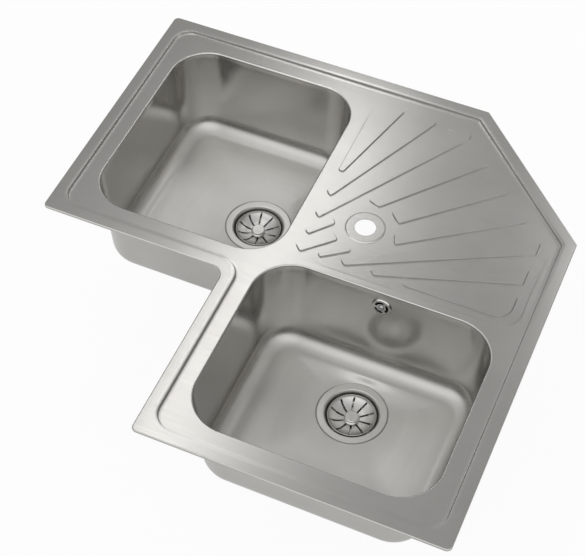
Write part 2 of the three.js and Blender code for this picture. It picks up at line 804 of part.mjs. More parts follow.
function hosePoint(distance) {
  if (distance <= drop) return { y: hoseY, z: hoseTop - distance, angle: 0 };
  const angle = Math.min(distance - drop, bendLength) / hoseBend;
  const past = Math.max(0, distance - drop - bendLength);
  const y = hoseY - hoseBend * (1 - Math.cos(angle)) - past;
  return { y, z: bendZ - hoseBend * Math.sin(angle), angle };
}

function hose() {
  const sides = 8;
  const positions = [];
  const index = [];
  const addRing = (distance, radius) => {
    const { y, z, angle } = hosePoint(distance);
    for (let i = 0; i < sides; i += 1) {
      const turn = (2 * Math.PI * i) / sides;
      const out = radius * Math.sin(turn);
      positions.push(drainAlong + radius * Math.cos(turn));
      positions.push(y + out * Math.cos(angle), z + out * Math.sin(angle));
    }
    return positions.length / 3 - sides;
  };
  const join = (a, b) => {
    for (let i = 0; i < sides; i += 1) {
      const next = (i + 1) % sides;
      index.push(a + i, b + next, a + next, a + i, b + i, b + next);
    }
  };
  const cuff = 14; // plain ends
  const cuffRadius = hoseRadius - 0.5;
  const ribs = Math.round((hoseLength - 2 * cuff) / ribPitch);
  const pitch = (hoseLength - 2 * cuff) / ribs;
  const rings = [addRing(0, cuffRadius), addRing(cuff - 1, cuffRadius)];
  for (let rib = 0; rib < ribs; rib += 1) {
    rings.push(addRing(cuff + (rib + 0.2) * pitch, hoseRadius - 1.5));
    rings.push(addRing(cuff + (rib + 0.7) * pitch, hoseRadius));
  }
  rings.push(addRing(hoseLength - cuff + 1, cuffRadius), addRing(hoseLength, cuffRadius));
  const boreStep = hoseLength / Math.ceil(ribs / 4);
  for (let stop = hoseLength; stop > 1; stop -= boreStep) rings.push(addRing(stop, hoseBore));
  rings.push(addRing(0, hoseBore), rings[0]);
  rings.slice(1).forEach((to, i) => join(rings[i], to));
  const geometry = new THREE.BufferGeometry();
  geometry.setAttribute('position', new THREE.Float32BufferAttribute(positions, 3));
  geometry.setIndex(index);
  return geometry;
}

place('overflow_hose', hose(), greyPlastic);
const hoseNut = () => ring(hoseRadius + 0.2, hoseRadius + 3.2, 1, 11, 16);
place('hose_nut_upper', hoseNut(), plastic, [drainAlong, hoseY, hoseTop - 12]);
place('hose_nut_lower', hoseNut(), plastic, [drainAlong, hoseEnd, inletZ], [-Math.PI / 2, 0, 0]);

// ---- fixing clips: a bracket welded under the deck, a claw and the screw that it swings on
const bracketSheet = 1.5;
const bracketTop = deckTop - sheet - gap;
const bracketDrop = 14;
const screwRadius = 2.5;
const clawSheet = 2.5;
const clawTop = -clampDepth - 3;
const headTop = clawTop - clawSheet - gap;

function bracket() {
  const back = -7.2;
  const front = 7.2;
  const bottom = bracketTop - bracketDrop;
  const outlinePoints = [
    [back, bracketTop],
    [back, bottom],
    [front, bottom],
    [front, bottom + bracketSheet],
    [back + bracketSheet, bottom + bracketSheet],
    [back + bracketSheet, bracketTop - bracketSheet],
    [front, bracketTop - bracketSheet],
    [front, bracketTop],
  ].map(([x, z]) => new THREE.Vector2(x, z));
  const channel = prism(outlinePoints, clipWidth).translate(0, 0, -clipWidth / 2).rotateX(Math.PI / 2);
  const hole = cylinder(screwRadius + gap, bottom - 2, bottom + bracketSheet + 2, 8);
  return geometryOf(solid(channel).subtract(solid(hole)));
}

function claw() {
  const tail = 6.5;
  const tooth = 2.5;
  const bottom = clawTop - clawSheet;
  const profile = [
    [-tail, bottom],
    [clawReach - 1, bottom],
    [clawReach, bottom + 1],
    [clawReach, -clampDepth],
    [clawReach - tooth, -clampDepth],
    [clawReach - tooth - 2, clawTop],
    [-tail, clawTop],
  ].map(([x, z]) => new THREE.Vector2(x, z));
  const bar = prism(profile, clawWidth).translate(0, 0, -clawWidth / 2).rotateX(Math.PI / 2);
  const notch = box(clawReach - 6, clawReach + 1, -1.5, 1.5, clawTop, -clampDepth + 1);
  const hole = cylinder(screwRadius + gap, bottom - 1, clawTop + 1, 8);
  return geometryOf(solid(bar).subtract(solid(notch)).subtract(solid(hole)));
}

function clipScrew() {
  const head = cylinder(5, headTop - 3.2, headTop, 6);
  const shank = cylinder(screwRadius, headTop - 1, bracketTop - bracketDrop + bracketSheet + 5, 8);
  return geometryOf(solid(head).add(solid(shank)));
}

// Each clip stands inside one edge of the outline: a point on the edge and the way out of it.
const backClip = swageEnd + clipWidth;
const clips = [
  [-half, drainAlong, 180],
  [drainAcross - 50, half, 90],
  [backClip, half, 90],
  [half - chamfer / 2, half - chamfer / 2, 45],
  [half, backClip, 0],
  [half, drainAcross - 50, 0],
  [drainAlong, -half, -90],
  [drainAcross - 110, inner, -90],
];
clips.forEach(([x, y, degrees], i) => {
  const out = THREE.MathUtils.degToRad(degrees);
  const at = [x - clipInset * Math.cos(out), y - clipInset * Math.sin(out), 0];
  place(`clip_bracket_${i + 1}`, bracket(), zinc, at, [0, 0, out]);
  place(`clip_claw_${i + 1}`, claw(), zinc, at, [0, 0, out + Math.PI / 2]);
  place(`clip_screw_${i + 1}`, clipScrew(), zinc, at, [0, 0, out]);
});

export default group;
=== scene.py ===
from math import acos, atan2, copysign, cos, hypot, pi, radians, sin, sqrt, tan

import bmesh
import bpy
import numpy as np
from mathutils import Matrix, Vector
from mathutils.geometry import delaunay_2d_cdt


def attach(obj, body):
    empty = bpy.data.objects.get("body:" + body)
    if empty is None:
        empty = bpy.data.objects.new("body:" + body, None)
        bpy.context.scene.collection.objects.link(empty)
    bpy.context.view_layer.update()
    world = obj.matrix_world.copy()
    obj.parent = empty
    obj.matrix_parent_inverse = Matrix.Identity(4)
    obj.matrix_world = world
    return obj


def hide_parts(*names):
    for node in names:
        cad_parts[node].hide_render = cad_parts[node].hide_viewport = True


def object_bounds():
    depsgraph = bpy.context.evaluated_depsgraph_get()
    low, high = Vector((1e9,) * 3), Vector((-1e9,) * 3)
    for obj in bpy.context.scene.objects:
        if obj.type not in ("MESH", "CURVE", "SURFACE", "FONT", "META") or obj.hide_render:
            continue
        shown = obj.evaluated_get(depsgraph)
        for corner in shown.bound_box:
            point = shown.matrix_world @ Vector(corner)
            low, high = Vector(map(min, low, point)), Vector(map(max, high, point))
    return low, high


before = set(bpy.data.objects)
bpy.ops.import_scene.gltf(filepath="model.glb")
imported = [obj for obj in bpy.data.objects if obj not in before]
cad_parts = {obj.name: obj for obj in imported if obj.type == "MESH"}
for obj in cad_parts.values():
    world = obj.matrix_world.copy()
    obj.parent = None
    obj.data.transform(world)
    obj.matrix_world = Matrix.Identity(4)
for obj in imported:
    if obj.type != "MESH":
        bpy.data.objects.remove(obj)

cad_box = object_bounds()

# ---- The studio
# The sink hangs a little over a pale floor, as it would in its worktop. The surround is brightest
# high in front, mid-grey behind, and dim low in front and to the left. One long narrow lamp runs
# from front to back over the left side, and two wide ones hang to its right.
scene = bpy.context.scene
scene.view_settings.view_transform = "Standard"


def placed(name, data):
    """A new object in the scene."""
    made = bpy.data.objects.new(name, data)
    scene.collection.objects.link(made)
    return made


azimuth = radians(23.781)
elevation = radians(51.751)
aim = Vector((-sin(azimuth) * cos(elevation), cos(azimuth) * cos(elevation), 0))
aim.z = -sin(elevation)
camera_data = bpy.data.cameras.new("camera")
camera_data.sensor_width = 36
camera_data.lens = 93.755
camera_data.shift_x = 0.0319
camera = placed("camera", camera_data)
camera.location = (0.597744, -1.438773, 1.900011)
camera.rotation_euler = aim.to_track_quat("-Z", "Y").to_euler()
scene.camera = camera


class Field:
    """A socket in a node tree. Arithmetic on it adds Math nodes, and make() adds any other node."""

    def __init__(self, tree, socket=None):
        self.tree = tree
        self.socket = socket

    def make(self, kind, settings=None, sockets=None, output=0):
        node = self.tree.nodes.new("ShaderNode" + kind)
        for name, value in (settings or {}).items():
            if name == "stops":
                elements = node.color_ramp.elements
                while len(elements) < len(value):
                    elements.new(1.0)
                for element, (position, colour) in zip(elements, value):
                    element.position = position
                    element.color = colour
            else:
                setattr(node, name, value)
        for name, value in (sockets or {}).items():
            if isinstance(value, Field):
                self.tree.links.new(value.socket, node.inputs[name])
            else:
                node.inputs[name].default_value = value
        return Field(self.tree, node.outputs[output])

    def out(self, kind, shader):
        node = self.tree.nodes.new("ShaderNode" + kind)
        self.tree.links.new(shader.socket, node.inputs["Surface"])

    def math(self, operation, first, second=0.0):
        return self.make("Math", {"operation": operation}, {0: first, 1: second})

    def __add__(self, other):
        return self.math("ADD", self, other)

    def __sub__(self, other):
        return self.math("SUBTRACT", self, other)

    def __rsub__(self, other):
        return self.math("SUBTRACT", other, self)

    def __mul__(self, other):
        return self.math("MULTIPLY", self, other)

    __radd__, __rmul__ = __add__, __mul__

    def mix(self, low, high):
        """A colour between two, by this field."""
        return self.make("Mix", {"data_type": "RGBA"}, {0: self, 6: low, 7: high}, 2)

    def along(self, axis):
        return self.make("SeparateXYZ", sockets={0: self}, output=axis)

    def between(self, low, high):
        """0 where this field is under low, 1 where it is over high."""
        sockets = {"Value": self, "From Min": low, "From Max": high}
        return self.make("MapRange", {"interpolation_type": "SMOOTHSTEP"}, sockets)


def grey(level):
    return (level, level, level, 1.0)


def emptied(owner):
    """The node tree of a material or world, with nothing in it yet."""
    owner.use_nodes = True
    owner.node_tree.nodes.clear()
    return Field(owner.node_tree)


def seen_straight(tree):
    """1 for what the camera sees itself, also through glass, and 0 for light and reflections."""
    straight = tree.make("LightPath", output="Is Camera Ray")
    through = tree.make("LightPath", output="Is Transmission Ray")
    return tree.math("MAXIMUM", straight, through)


backdrop, reflected = 0.93, 0.22
ground = cad_box[0][2] - 0.16
reach = 30.0
floor_plan = [(-reach, -reach), (reach, -reach), (reach, reach), (-reach, reach)]
floor_mesh = bpy.data.meshes.new("floor")
floor_mesh.from_pydata([(x, y, ground) for x, y in floor_plan], [], [(0, 1, 2, 3)])
floor = placed("floor", floor_mesh)
floor_paint = bpy.data.materials.new("floor_paint")
tree = emptied(floor_paint)
glossy = tree.make("LightPath", output="Is Glossy Ray")
seen = tree.math("MAXIMUM", seen_straight(tree) * backdrop, glossy * reflected)
matt = tree.make("BsdfDiffuse", sockets={"Color": grey(0.85)})
lit = tree.make("Emission", sockets={"Color": grey(1.0), "Strength": 1.0})
tree.out("OutputMaterial", tree.make("MixShader", sockets={0: seen, 1: matt, 2: lit}))
floor_mesh.materials.append(floor_paint)

world = bpy.data.worlds.new("studio")
scene.world = world
tree = emptied(world)
direction = tree.make("TexCoord", output="Generated")
rightwards, backwards, height = (direction.along(axis) for axis in "XYZ")
front_to_back = [
    (0.02, 0.7), (0.07, 1.35), (0.16, 1.6), (0.30, 1.3), (0.42, 0.9),
    (0.63, 0.6), (0.73, 0.42), (0.79, 0.36), (0.88, 0.42), (0.98, 0.6),
]
stops = [(place, grey(level)) for place, level in front_to_back]
shade = tree.make("ValToRGB", {"stops": stops}, {0: backwards * 0.5 + 0.5})
low_front = (0 - backwards).between(0.0, 0.35) * (1 - height.between(0.16, 0.34))
shade = low_front.mix(shade, grey(0.28))
low_left = (0 - rightwards).between(0.3, 0.8) * (1 - height.between(0.25, 0.5))
shade = (low_left * 0.75).mix(shade, grey(0.3))
shade = seen_straight(tree).mix(shade, grey(backdrop))
tree.out("OutputWorld", tree.make("Background", sockets={"Color": shade, "Strength": 1.0}))


def lamp(name, place, width, length, power, swing=0.0):
    """A soft rectangular lamp that shines straight down, turned about its middle by an angle."""
    data = bpy.data.lights.new(name, "AREA")
    data.shape = "RECTANGLE"
    data.size = width
    data.size_y = length
    data.energy = power
    made = placed(name, data)
    made.location = place
    made.rotation_euler.z = radians(swing)


lamp("strip", (-0.695, 1.225, 2.0), 0.23, 2.15, 5.1, -1.5)
lamp("side_panel", (0.78, 2.0, 2.0), 1.0, 0.7, 4.2)
lamp("drainer_panel", (-0.38, 1.68, 2.0), 0.45, 0.6, 0.2)

# ---- The deck
# One sheet of 0.8 mm stainless steel, pressed in a single die: the raised rim with its turned-down
# edge, the step, the rolled edges into the bowls, the sunray drainer and the landing for the tap.
side = 830
arm_width = 500
chamfer = 226
half = side / 2
inner = half - arm_width
sheet = 0.8
rim_top = 4
rim_edge = 2
rim_width = 16
step_width = 13
step_drop = 5
deck_top = rim_top - step_drop
bowl_roll = 2.5
bowl_neck = 8
neck_end = deck_top - bowl_neck
bowl_margin = 52
bowl_near, bowl_far = inner + bowl_margin, half - 54
bowl_outer = -half + bowl_margin
bowl_inner = inner + 58
near, far = bowl_inner + 26, bowl_far


def arc(centre, arm, sweep, steps):
    """Points round a centre, from the end of an arm and through an angle."""
    return [centre + Matrix.Rotation(sweep * k / steps, 2) @ arm for k in range(steps + 1)]


def loop(corners, inset=0.0, arcs=12, fill=0):
    """Plan points round corners of (x, y, radius), anticlockwise, moved inwards by an inset."""
    places = [Vector(corner[:2]) for corner in corners]
    edges = []
    for i, place in enumerate(places):
        along = (places[(i + 1) % len(places)] - place).normalized()
        edges.append((place + Vector((-along.y, along.x)) * inset, along))
    bends = []
    for i, corner in enumerate(corners):
        (start, before), (onwards, after) = edges[i - 1], edges[i]
        bend_sine = before.cross(after)
        crossing = start + before * ((onwards - start).cross(after) / bend_sine)
        angle = atan2(bend_sine, before.dot(after))
        sign = copysign(1, bend_sine)
        radius = max(corner[2] - inset * sign, 0.4)
        first = crossing - before * (radius * tan(abs(angle) / 2))
        centre = first + Vector((-before.y, before.x)) * (sign * radius)
        bends.append(arc(centre, first - centre, angle, arcs))
    points = []
    for i, bend in enumerate(bends):
        points += bend
        onwards = bends[(i + 1) % len(bends)][0]
        points += [bend[-1].lerp(onwards, (k + 1) / (fill + 1)) for k in range(fill)]
    return np.array([tuple(p) for p in points])


def mirrored(points):
    return points[::-1, ::-1]


def circle(x, y, radius, count=72):
    angles = np.linspace(0, 2 * pi, count, endpoint=False)
    return np.stack([x + radius * np.cos(angles), y + radius * np.sin(angles)], axis=1)


def eased(share):
    """From 0 to 1 with a soft start and end."""
    share = min(max(share, 0.0), 1.0)
    return share * share * (3 - 2 * share)


def folded(share, bend):
    """From 0 to 1 along a straight wall, with its bends at both ends as shares of the width."""
    share = min(max(share, 0.0), 1.0)
    if share > 0.5:
        return 1 - folded(1 - share, bend)
    if share < bend:
        return share * share / (2 * bend * (1 - bend))
    return (share - bend / 2) / (1 - bend)


def within(ring, x, y):
    """Whether a point lies inside a closed ring."""
    after = np.roll(ring, -1, axis=0)
    across = (ring[:, 1] > y) != (after[:, 1] > y)
    rise = np.where(across, after[:, 1] - ring[:, 1], 1.0)
    at = ring[:, 0] + (y - ring[:, 1]) / rise * (after[:, 0] - ring[:, 0])
    return int(np.sum(across & (x < at))) % 2 == 1


class Sheet:
    """Rings of points on a sheet's upper face, each point with its twin on the under face."""

    def __init__(self, thickness):
        self.thickness = thickness
        self.upper, self.under = [], []
        self.faces, self.rims = [], []

    def ring(self, plan, z, under_plan=None, under_z=None):
        """Points over a plan at a level, or at the level that a function gives for each."""
        first = len(self.upper)
        for (x, y), (u, v) in zip(plan, plan if under_plan is None else under_plan):
            level = z(x, y) if callable(z) else z
            self.upper.append((x, y, level))
            self.under.append((u, v, level - self.thickness if under_z is None else under_z))
        return range(first, len(self.upper))

    def bend(self, at, inset, level, radius, under_radius, angles):
        """Rings round a bend: both faces are arcs about one line at an inset and a level."""
        rings = []
        for angle in angles:
            over, under = (inset - r * cos(angle) for r in (radius, under_radius))
            top, below = (level + r * sin(angle) for r in (radius, under_radius))
            rings.append(self.ring(at(over), top, at(under), below))
        return rings

    def plan(self, ring):
        return np.array([self.upper[i][:2] for i in ring])

    def strips(self, rings):
        """Quads between each ring and the next."""
        for outer, inside in zip(rings, rings[1:]):
            for i in range(len(outer)):
                n = (i + 1) % len(outer)
                self.faces.append((outer[i], outer[n], inside[n], inside[i]))

    def fill(self, outer, holes=(), places=(), room=0.0, z=0.0):
        """Triangles inside one ring and outside others, also over places with room round them."""
        rings = (outer, *holes)
        plans = [self.plan(ring) for ring in rings]
        taken = np.concatenate(plans)
        spread = []
        for place in places:
            if np.min(np.hypot(*(taken - place).T)) < room or not within(plans[0], *place):
                continue
            if not any(within(plan, *place) for plan in plans[1:]):
                spread.append(place)
        numbers = [i for ring in rings for i in ring]
        edges = []
        for ring in rings:
            start = len(edges)
            edges += [(start + k, start + (k + 1) % len(ring)) for k in range(len(ring))]
        numbers += list(self.ring(spread, z))
        points = [Vector(self.upper[i][:2]) for i in numbers]
        _, _, faces, origins, _, _ = delaunay_2d_cdt(points, edges, [], 1, 1e-5)
        closed = list(zip(map(set, holes), plans[1:]))
        for face in faces:
            corners = [numbers[origins[k][0]] for k in face]
            middle = self.plan(corners).mean(axis=0)
            if not any(hole.issuperset(corners) and within(plan, *middle) for hole, plan in closed):
                self.faces.append(tuple(corners))

    def edge(self, ring, outside=False):
        pairs = [(ring[i], ring[(i + 1) % len(ring)]) for i in range(len(ring))]
        self.rims += [(b, a) if outside else (a, b) for a, b in pairs]

    def shape(self):
        count = len(self.upper)
        faces = list(self.faces)
        faces += [tuple(i + count for i in reversed(face)) for face in self.faces]
        faces += [(a, b, b + count, a + count) for a, b in self.rims]
        return self.upper + self.under, faces


def mesh_of(shape):
    """A mesh in metres from points in millimetres and faces."""
    points, faces = shape
    mesh = bpy.data.meshes.new("work")
    mesh.from_pydata([tuple(0.001 * c for c in point) for point in points], [], faces)
    mesh.validate()
    work = bmesh.new()
    work.from_mesh(mesh)
    bmesh.ops.recalc_face_normals(work, faces=work.faces)
    work.to_mesh(mesh)
    work.free()
    return mesh


def piece(name, mesh, finish, body, *nodes, place=None):
    """Puts a mesh into the scene for CAD nodes, or its copy, moved by a matrix in millimetres."""
    if place is not None:
        small = Matrix.Scale(0.001, 4)
        mesh = mesh.copy()
        mesh.transform(small @ place @ small.inverted())
    mesh.name = name
    mesh.shade_smooth()
    mesh.set_sharp_from_angle(angle=radians(38))
    mesh.materials.clear()
    mesh.materials.append(finish)
    made = placed(name, mesh)
    normals = made.modifiers.new("normals", "WEIGHTED_NORMAL")
    normals.keep_sharp = True
    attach(made, body)
    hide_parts(*nodes)


def outline(back, cut, concave):
    return [
        (inner, inner, concave), (inner, -half, back), (half, -half, back),
        (half, half - chamfer, cut), (half - chamfer, half, cut), (-half, half, back),
        (-half, inner, back),
    ]


rim_corners = outline(back=9, cut=5, concave=22)
step_corners = outline(back=38 + rim_width, cut=30, concave=14)
bowl_radius = 68
bowl_corners = [
    (bowl_outer, bowl_near, bowl_radius), (bowl_inner, bowl_near, bowl_radius),
    (bowl_inner, bowl_far, bowl_radius), (bowl_outer, bowl_far, bowl_radius),
]
tap = near + 89
tap_hole = 17.5
landing_radius = 33.5
landing_rise = 1.5
cut_margin = 50
cut_end = half - chamfer / 2 - cut_margin * sqrt(0.5)
ray_rise = 3
ray_wall = 1.6
tip = 4.5


def beside(across, along, radius=tip):
    """A ray's corner, from the drainer's inner corner."""
    return (near + across, near + along, radius)


def by_tap(across, along):
    return (tap + across, tap + along, tip)


def at_back(share, radius=tip):
    return (near + share * (2 * cut_end - far - near), far, radius)


def at_cut(aside):
    return (cut_end - aside, cut_end + aside, tip)


twin_rays = [
    [beside(0, 186), beside(11, 188), at_back(0.324), (near, far, 28)],
    [beside(11, 126), at_back(0.688, 8), at_back(0.451), beside(0, 138)],
    [beside(11, 76), at_back(1.11, 14), at_back(0.832), beside(0, 87)],
    [by_tap(5, 48), at_cut(34.5), at_cut(62.5), by_tap(-18, 56)],
    [beside(9, 37), by_tap(-47, -13), by_tap(-56, 0), beside(0, 45)],
]
diagonal_rays = [
    [by_tap(47, 27), at_cut(-14.5), at_cut(14.5), by_tap(27, 47)],
    [beside(11, -2), by_tap(-30, -43), by_tap(-43, -30), beside(-2, 11)],
]
swage_margin = 37
swage_start = Vector((near, near - 13))
swage_end = Vector((half - swage_margin, half - chamfer - swage_margin))
swage_radius = 34
swage_width = 2.2
swage_drop = 2


def field_level(x, y):
    """The drainer's surface: it falls from a soft fold to the corner beside the right bowl."""
    run = swage_end.x - swage_start.x
    rise = swage_end.y - swage_start.y
    below = ((x - swage_start.x) * rise - (y - swage_start.y) * run) / run
    soft = 14.0
    if below < soft:
        below = max(below + soft, 0.0) ** 2 / (4 * soft)
    return deck_top - swage_drop * below / rise


swage_corner = Vector((swage_end.x - swage_radius, swage_start.y))
swage_centre = swage_corner + Vector((0, swage_radius))
swage_bend = arc(swage_centre, swage_corner - swage_centre, pi / 2, 12)
swage_path = [swage_start.lerp(swage_corner, k / 40) for k in range(40)] + swage_bend
swage_path += [swage_bend[-1].lerp(swage_end, k / 14) for k in range(1, 15)]
swage_ring = np.array([tuple(point) for point in swage_path])


def deck_level(x, y):
    """The deck's surface: level, but for the drainer's low side within its swage."""
    ends = (swage_start.x, swage_end.x), (swage_start.y, swage_end.y)
    if within(swage_ring, x, y) or y > np.interp(x, *ends):
        return field_level(x, y)
    return deck_top


def swage_line(share):
    """The plan of the swage at a share of its width, which dies away towards its ends."""
    line = []
    count = len(swage_path)
    for i in range(1, count - 1):
        along = (swage_path[i + 1] - swage_path[i - 1]).normalized()
        width = swage_width * eased(i / 12) * eased((count - 1 - i) / 10)
        line.append(swage_path[i] + Vector((-along.y, along.x)) * max(width, 0.2) * share)
    return line


def step_fall(share):
    """How much of the step's drop is done at a share of its width: steep between soft shoulders."""
    return 0.86 * folded((share - 0.41) / 0.18, 0.1) + 0.14 * eased(share)


def pressed_deck():
    body = Sheet(sheet)
    at = lambda inset: loop(rim_corners, inset)
    rim = [body.ring(at(0), 0, at(sheet), 0)]
    body.edge(rim[0], outside=True)
    quarter = np.linspace(0, pi / 2, 6)
    rim += body.bend(at, rim_edge, rim_top - rim_edge, rim_edge, rim_edge - sheet, quarter)
    body.strips(rim)
    steps = []
    half_steps = [0, 0.08, 0.18, 0.28, 0.36, 0.4, 0.412, 0.42, 0.43, 0.45]
    for share in [*half_steps, 0.5, *(1 - share for share in reversed(half_steps))]:
        plan = loop(step_corners, rim_width + step_width * share)
        steps.append(body.ring(plan, rim_top - step_drop * step_fall(share)))
    body.fill(rim[-1], [steps[0]])
    body.strips(steps)

    holes = []
    sides = (lambda points: points, mirrored)
    for side_of in sides:
        at = lambda inset: side_of(loop(bowl_corners, inset, 20, 8))
        level = deck_top - bowl_roll
        quarter = np.linspace(pi / 2, pi, 9)
        rolled = body.bend(at, -bowl_roll, level, bowl_roll, bowl_roll - sheet, quarter)
        rolled.append(body.ring(at(0), neck_end, at(-sheet), neck_end))
        body.strips(rolled)
        body.edge(rolled[-1])
        holes.append(rolled[0])

    rays = [(ray, side_of) for ray in twin_rays for side_of in sides]
    rays += [(ray, sides[0]) for ray in diagonal_rays]
    for ray, side_of in rays:
        rings = []
        for share in (-0.1, 0, 0.03, 0.08, 0.3, 0.7, 0.92, 0.97, 1, 1.1):
            level = lambda x, y: field_level(x, y) + ray_rise * folded(share, 0.08)
            rings.append(body.ring(side_of(loop(ray, ray_wall * share, 6, 6)), level))
        body.strips(rings)
        body.fill(rings[-1])
        holes.append(rings[0])

    landing = []
    for share in (-0.2, *np.linspace(0, 1, 7), 1.2):
        plan = circle(tap, tap, landing_radius - 2.5 * share)
        landing.append(body.ring(plan, deck_top + landing_rise * eased(share)))
    landing_top = deck_top + landing_rise
    for wider, lower in ((0.4, 0.0), (0.1, 0.1), (0.0, 0.4)):
        plan = circle(tap, tap, tap_hole + wider)
        landing.append(body.ring(plan, landing_top - lower, None, landing_top - sheet))
    body.strips(landing)
    body.edge(landing[-1])
    holes.append(landing[0])

    rows = []
    for share in np.linspace(0, 1, 9):
        level = lambda x, y: deck_top + (field_level(x, y) - deck_top) * folded(share, 0.12)
        rows.append(body.ring(swage_line(share), level))
    for low, high in zip(rows, rows[1:]):
        for i in range(len(low) - 1):
            body.faces.append((low[i], low[i + 1], high[i + 1], high[i]))
    ends = [row[-1] for row in rows[1:-1]]
    starts = [row[0] for row in rows[1:-1]]
    holes.append([*rows[0], *ends, *reversed(rows[-1]), *reversed(starts)])

    spacing = 13.0
    grid = np.arange(-half + 5, half, spacing)
    body.fill(steps[-1], holes, [(x, y) for x in grid for y in grid], 0.6 * spacing, deck_level)
    return body.shape()


def finish_of(name, base, roughness, metallic, normal):
    """A material whose colour, roughness and relief are made from the place on the surface."""
    made = bpy.data.materials.new(name)
    tree = emptied(made)
    spots = tree.make("TexCoord", output="Object")
    sockets = {"Base Color": base(spots), "Roughness": roughness(spots), "Normal": normal(spots)}
    sockets["Metallic"] = metallic
    tree.out("OutputMaterial", tree.make("BsdfPrincipled", sockets=sockets))
    return made


def noise(spots, scale, detail):
    """Noise over the surface, in cells per metre: one number, or three along X, Y and Z."""
    scale = scale if isinstance(scale, tuple) else (scale, scale, scale)
    stretched = spots.make("VectorMath", {"operation": "MULTIPLY"}, {0: spots, 1: scale})
    return spots.make("TexNoise", sockets={"Vector": stretched, "Scale": 1.0, "Detail": detail})


def bumped(spots, height, strength, depth):
    return spots.make("Bump", sockets={"Height": height, "Strength": strength, "Distance": depth})


def grained(fine, streaks, ripple):
    """The relief of worked sheet: fine lines, broader streaks and a faint unevenness."""
    def relief(spots):
        height = noise(spots, fine, 3) * 0.0015 + noise(spots, streaks, 2) * 0.003
        return bumped(spots, height + noise(spots, ripple, 1) * 0.05, 0.35, 0.0006)

    return relief


def deck_colour(spots):
    tone = noise(spots, 7, 3) * 0.6 + noise(spots, (14, 900, 900), 4) * 0.4
    return tone.between(0.25, 0.75).mix((0.50, 0.492, 0.470, 1), (0.56, 0.553, 0.531, 1))


def deck_roughness(spots):
    return noise(spots, 9, 3) * 0.04 + noise(spots, (10, 700, 700), 3) * 0.05 + 0.21


deck_relief = grained((30, 2200, 2200), (5, 260, 260), 11)
brushed_steel = finish_of("brushed_steel", deck_colour, deck_roughness, 1.0, deck_relief)
piece("pressed_deck", mesh_of(pressed_deck()), brushed_steel, "sink", "deck")

# ---- The bowls
# Each is deep-drawn from the same sheet, with leaning walls, a wide fillet and a floor that falls
# to a recess for the waste, and is welded to the deck's neck and ground flush.
floor_fillet = 32
draft = radians(4)
seat_radius = 60
seat_depth = 2
drain_radius = 47
floor_at_drain = rim_top - 190
floor_at_wall = floor_at_drain + 9
seat_top = floor_at_drain - seat_depth
drain = np.array([bowl_inner - 112, (bowl_near + bowl_far) / 2])
fillet_level = floor_at_wall + floor_fillet
wall_inset = tan(draft) * (neck_end - fillet_level + floor_fillet * sin(draft))
fillet_inset = wall_inset + floor_fillet * cos(draft)
floor_rays = 24


def facing_ring(points, radius):
    """A circle round the drain with one point towards each point of a loop."""
    away = points - drain
    return drain + away * (radius / np.linalg.norm(away, axis=1, keepdims=True))


def floor_ring(body, share, lower=0.0):
    """A ring of the floor, at a share of the way from its fillet to the waste's recess."""
    edge = loop(bowl_corners, fillet_inset, 20, floor_rays)
    seat = facing_ring(edge, seat_radius)
    fall = 0.5 * share + 0.5 * eased(share)
    level = floor_at_wall + (floor_at_drain - floor_at_wall) * fall
    return body.ring(edge + (seat - edge) * share, level - lower)


def drawn_bowl():
    body = Sheet(sheet)
    at = lambda inset: loop(bowl_corners, inset, 20, floor_rays)
    rings = [body.ring(at(0), neck_end, at(-sheet), neck_end)]
    soft = 8.0
    top_of_fillet = fillet_level - floor_fillet * sin(draft)
    for share in np.linspace(0.02, 1, 14) ** 1.6:
        down = share * (neck_end - top_of_fillet)
        lean = tan(draft) * (down if down > soft else down * down / soft)
        rings.append(body.ring(at(lean), neck_end - down, at(lean - sheet), neck_end - down - 0.05))
    angles = np.linspace(-draft, -pi / 2, 15)[1:]
    outside = floor_fillet + sheet
    rings += body.bend(at, fillet_inset, fillet_level, floor_fillet, outside, angles)
    rings += [floor_ring(body, share) for share in np.linspace(0, 1, 13)[1:]]
    edge = at(fillet_inset)
    for share in (0.2, 0.4, 0.6, 0.8, 1):
        level = floor_at_drain - seat_depth * eased(share)
        rings.append(body.ring(facing_ring(edge, seat_radius - 2 * share), level))
    for radius in (54, drain_radius):
        rings.append(body.ring(facing_ring(edge, radius), seat_top))
    body.edge(rings[0], outside=True)
    body.edge(rings[-1])
    body.strips(rings)
    return body.shape()


def twin(shape):
    """The mirror twin of a shape in the diagonal plane x = y."""
    points, faces = shape
    return [(y, x, z) for x, y, z in points], [tuple(reversed(face)) for face in faces]


def rounded(profile, steps=5):
    """A closed profile of (x, y) or (x, y, fillet) corners, with its fillets as arcs."""
    points = []
    for i, (x, y, *fillet) in enumerate(profile):
        here = Vector((x, y))
        if not fillet:
            points.append((x, y))
            continue
        before = (Vector(profile[i - 1][:2]) - here).normalized()
        after = (Vector(profile[(i + 1) % len(profile)][:2]) - here).normalized()
        opening = acos(max(-1.0, min(1.0, before.dot(after)))) / 2
        centre = here + (before + after).normalized() * (fillet[0] / sin(opening))
        first = here + before * (fillet[0] / tan(opening)) - centre
        last = here + after * (fillet[0] / tan(opening)) - centre
        sweep = atan2(first.cross(last), first.dot(last))
        points += [tuple(point) for point in arc(centre, first, sweep, steps)]
    return points


def turned(profile, segments=96):
    """A closed profile of (radius, z) or (radius, z, fillet), anticlockwise, turned about Z."""
    points, rings = [], []
    for radius, z in rounded(profile):
        count = segments if radius > 0 else 1
        rings.append(range(len(points), len(points) + count))
        angles = [2 * pi * k / segments for k in range(count)]
        points += [(radius * cos(a), radius * sin(a), z) for a in angles]
    faces = []
    for a, b in zip(rings, rings[1:] + rings[:1]):
        for k in range(segments if len(a) + len(b) > 2 else 0):
            n = k + 1
            corners = (a[k % len(a)], a[n % len(a)], b[n % len(b)], b[k % len(b)])
            faces.append(tuple(dict.fromkeys(corners)))
    return points, faces


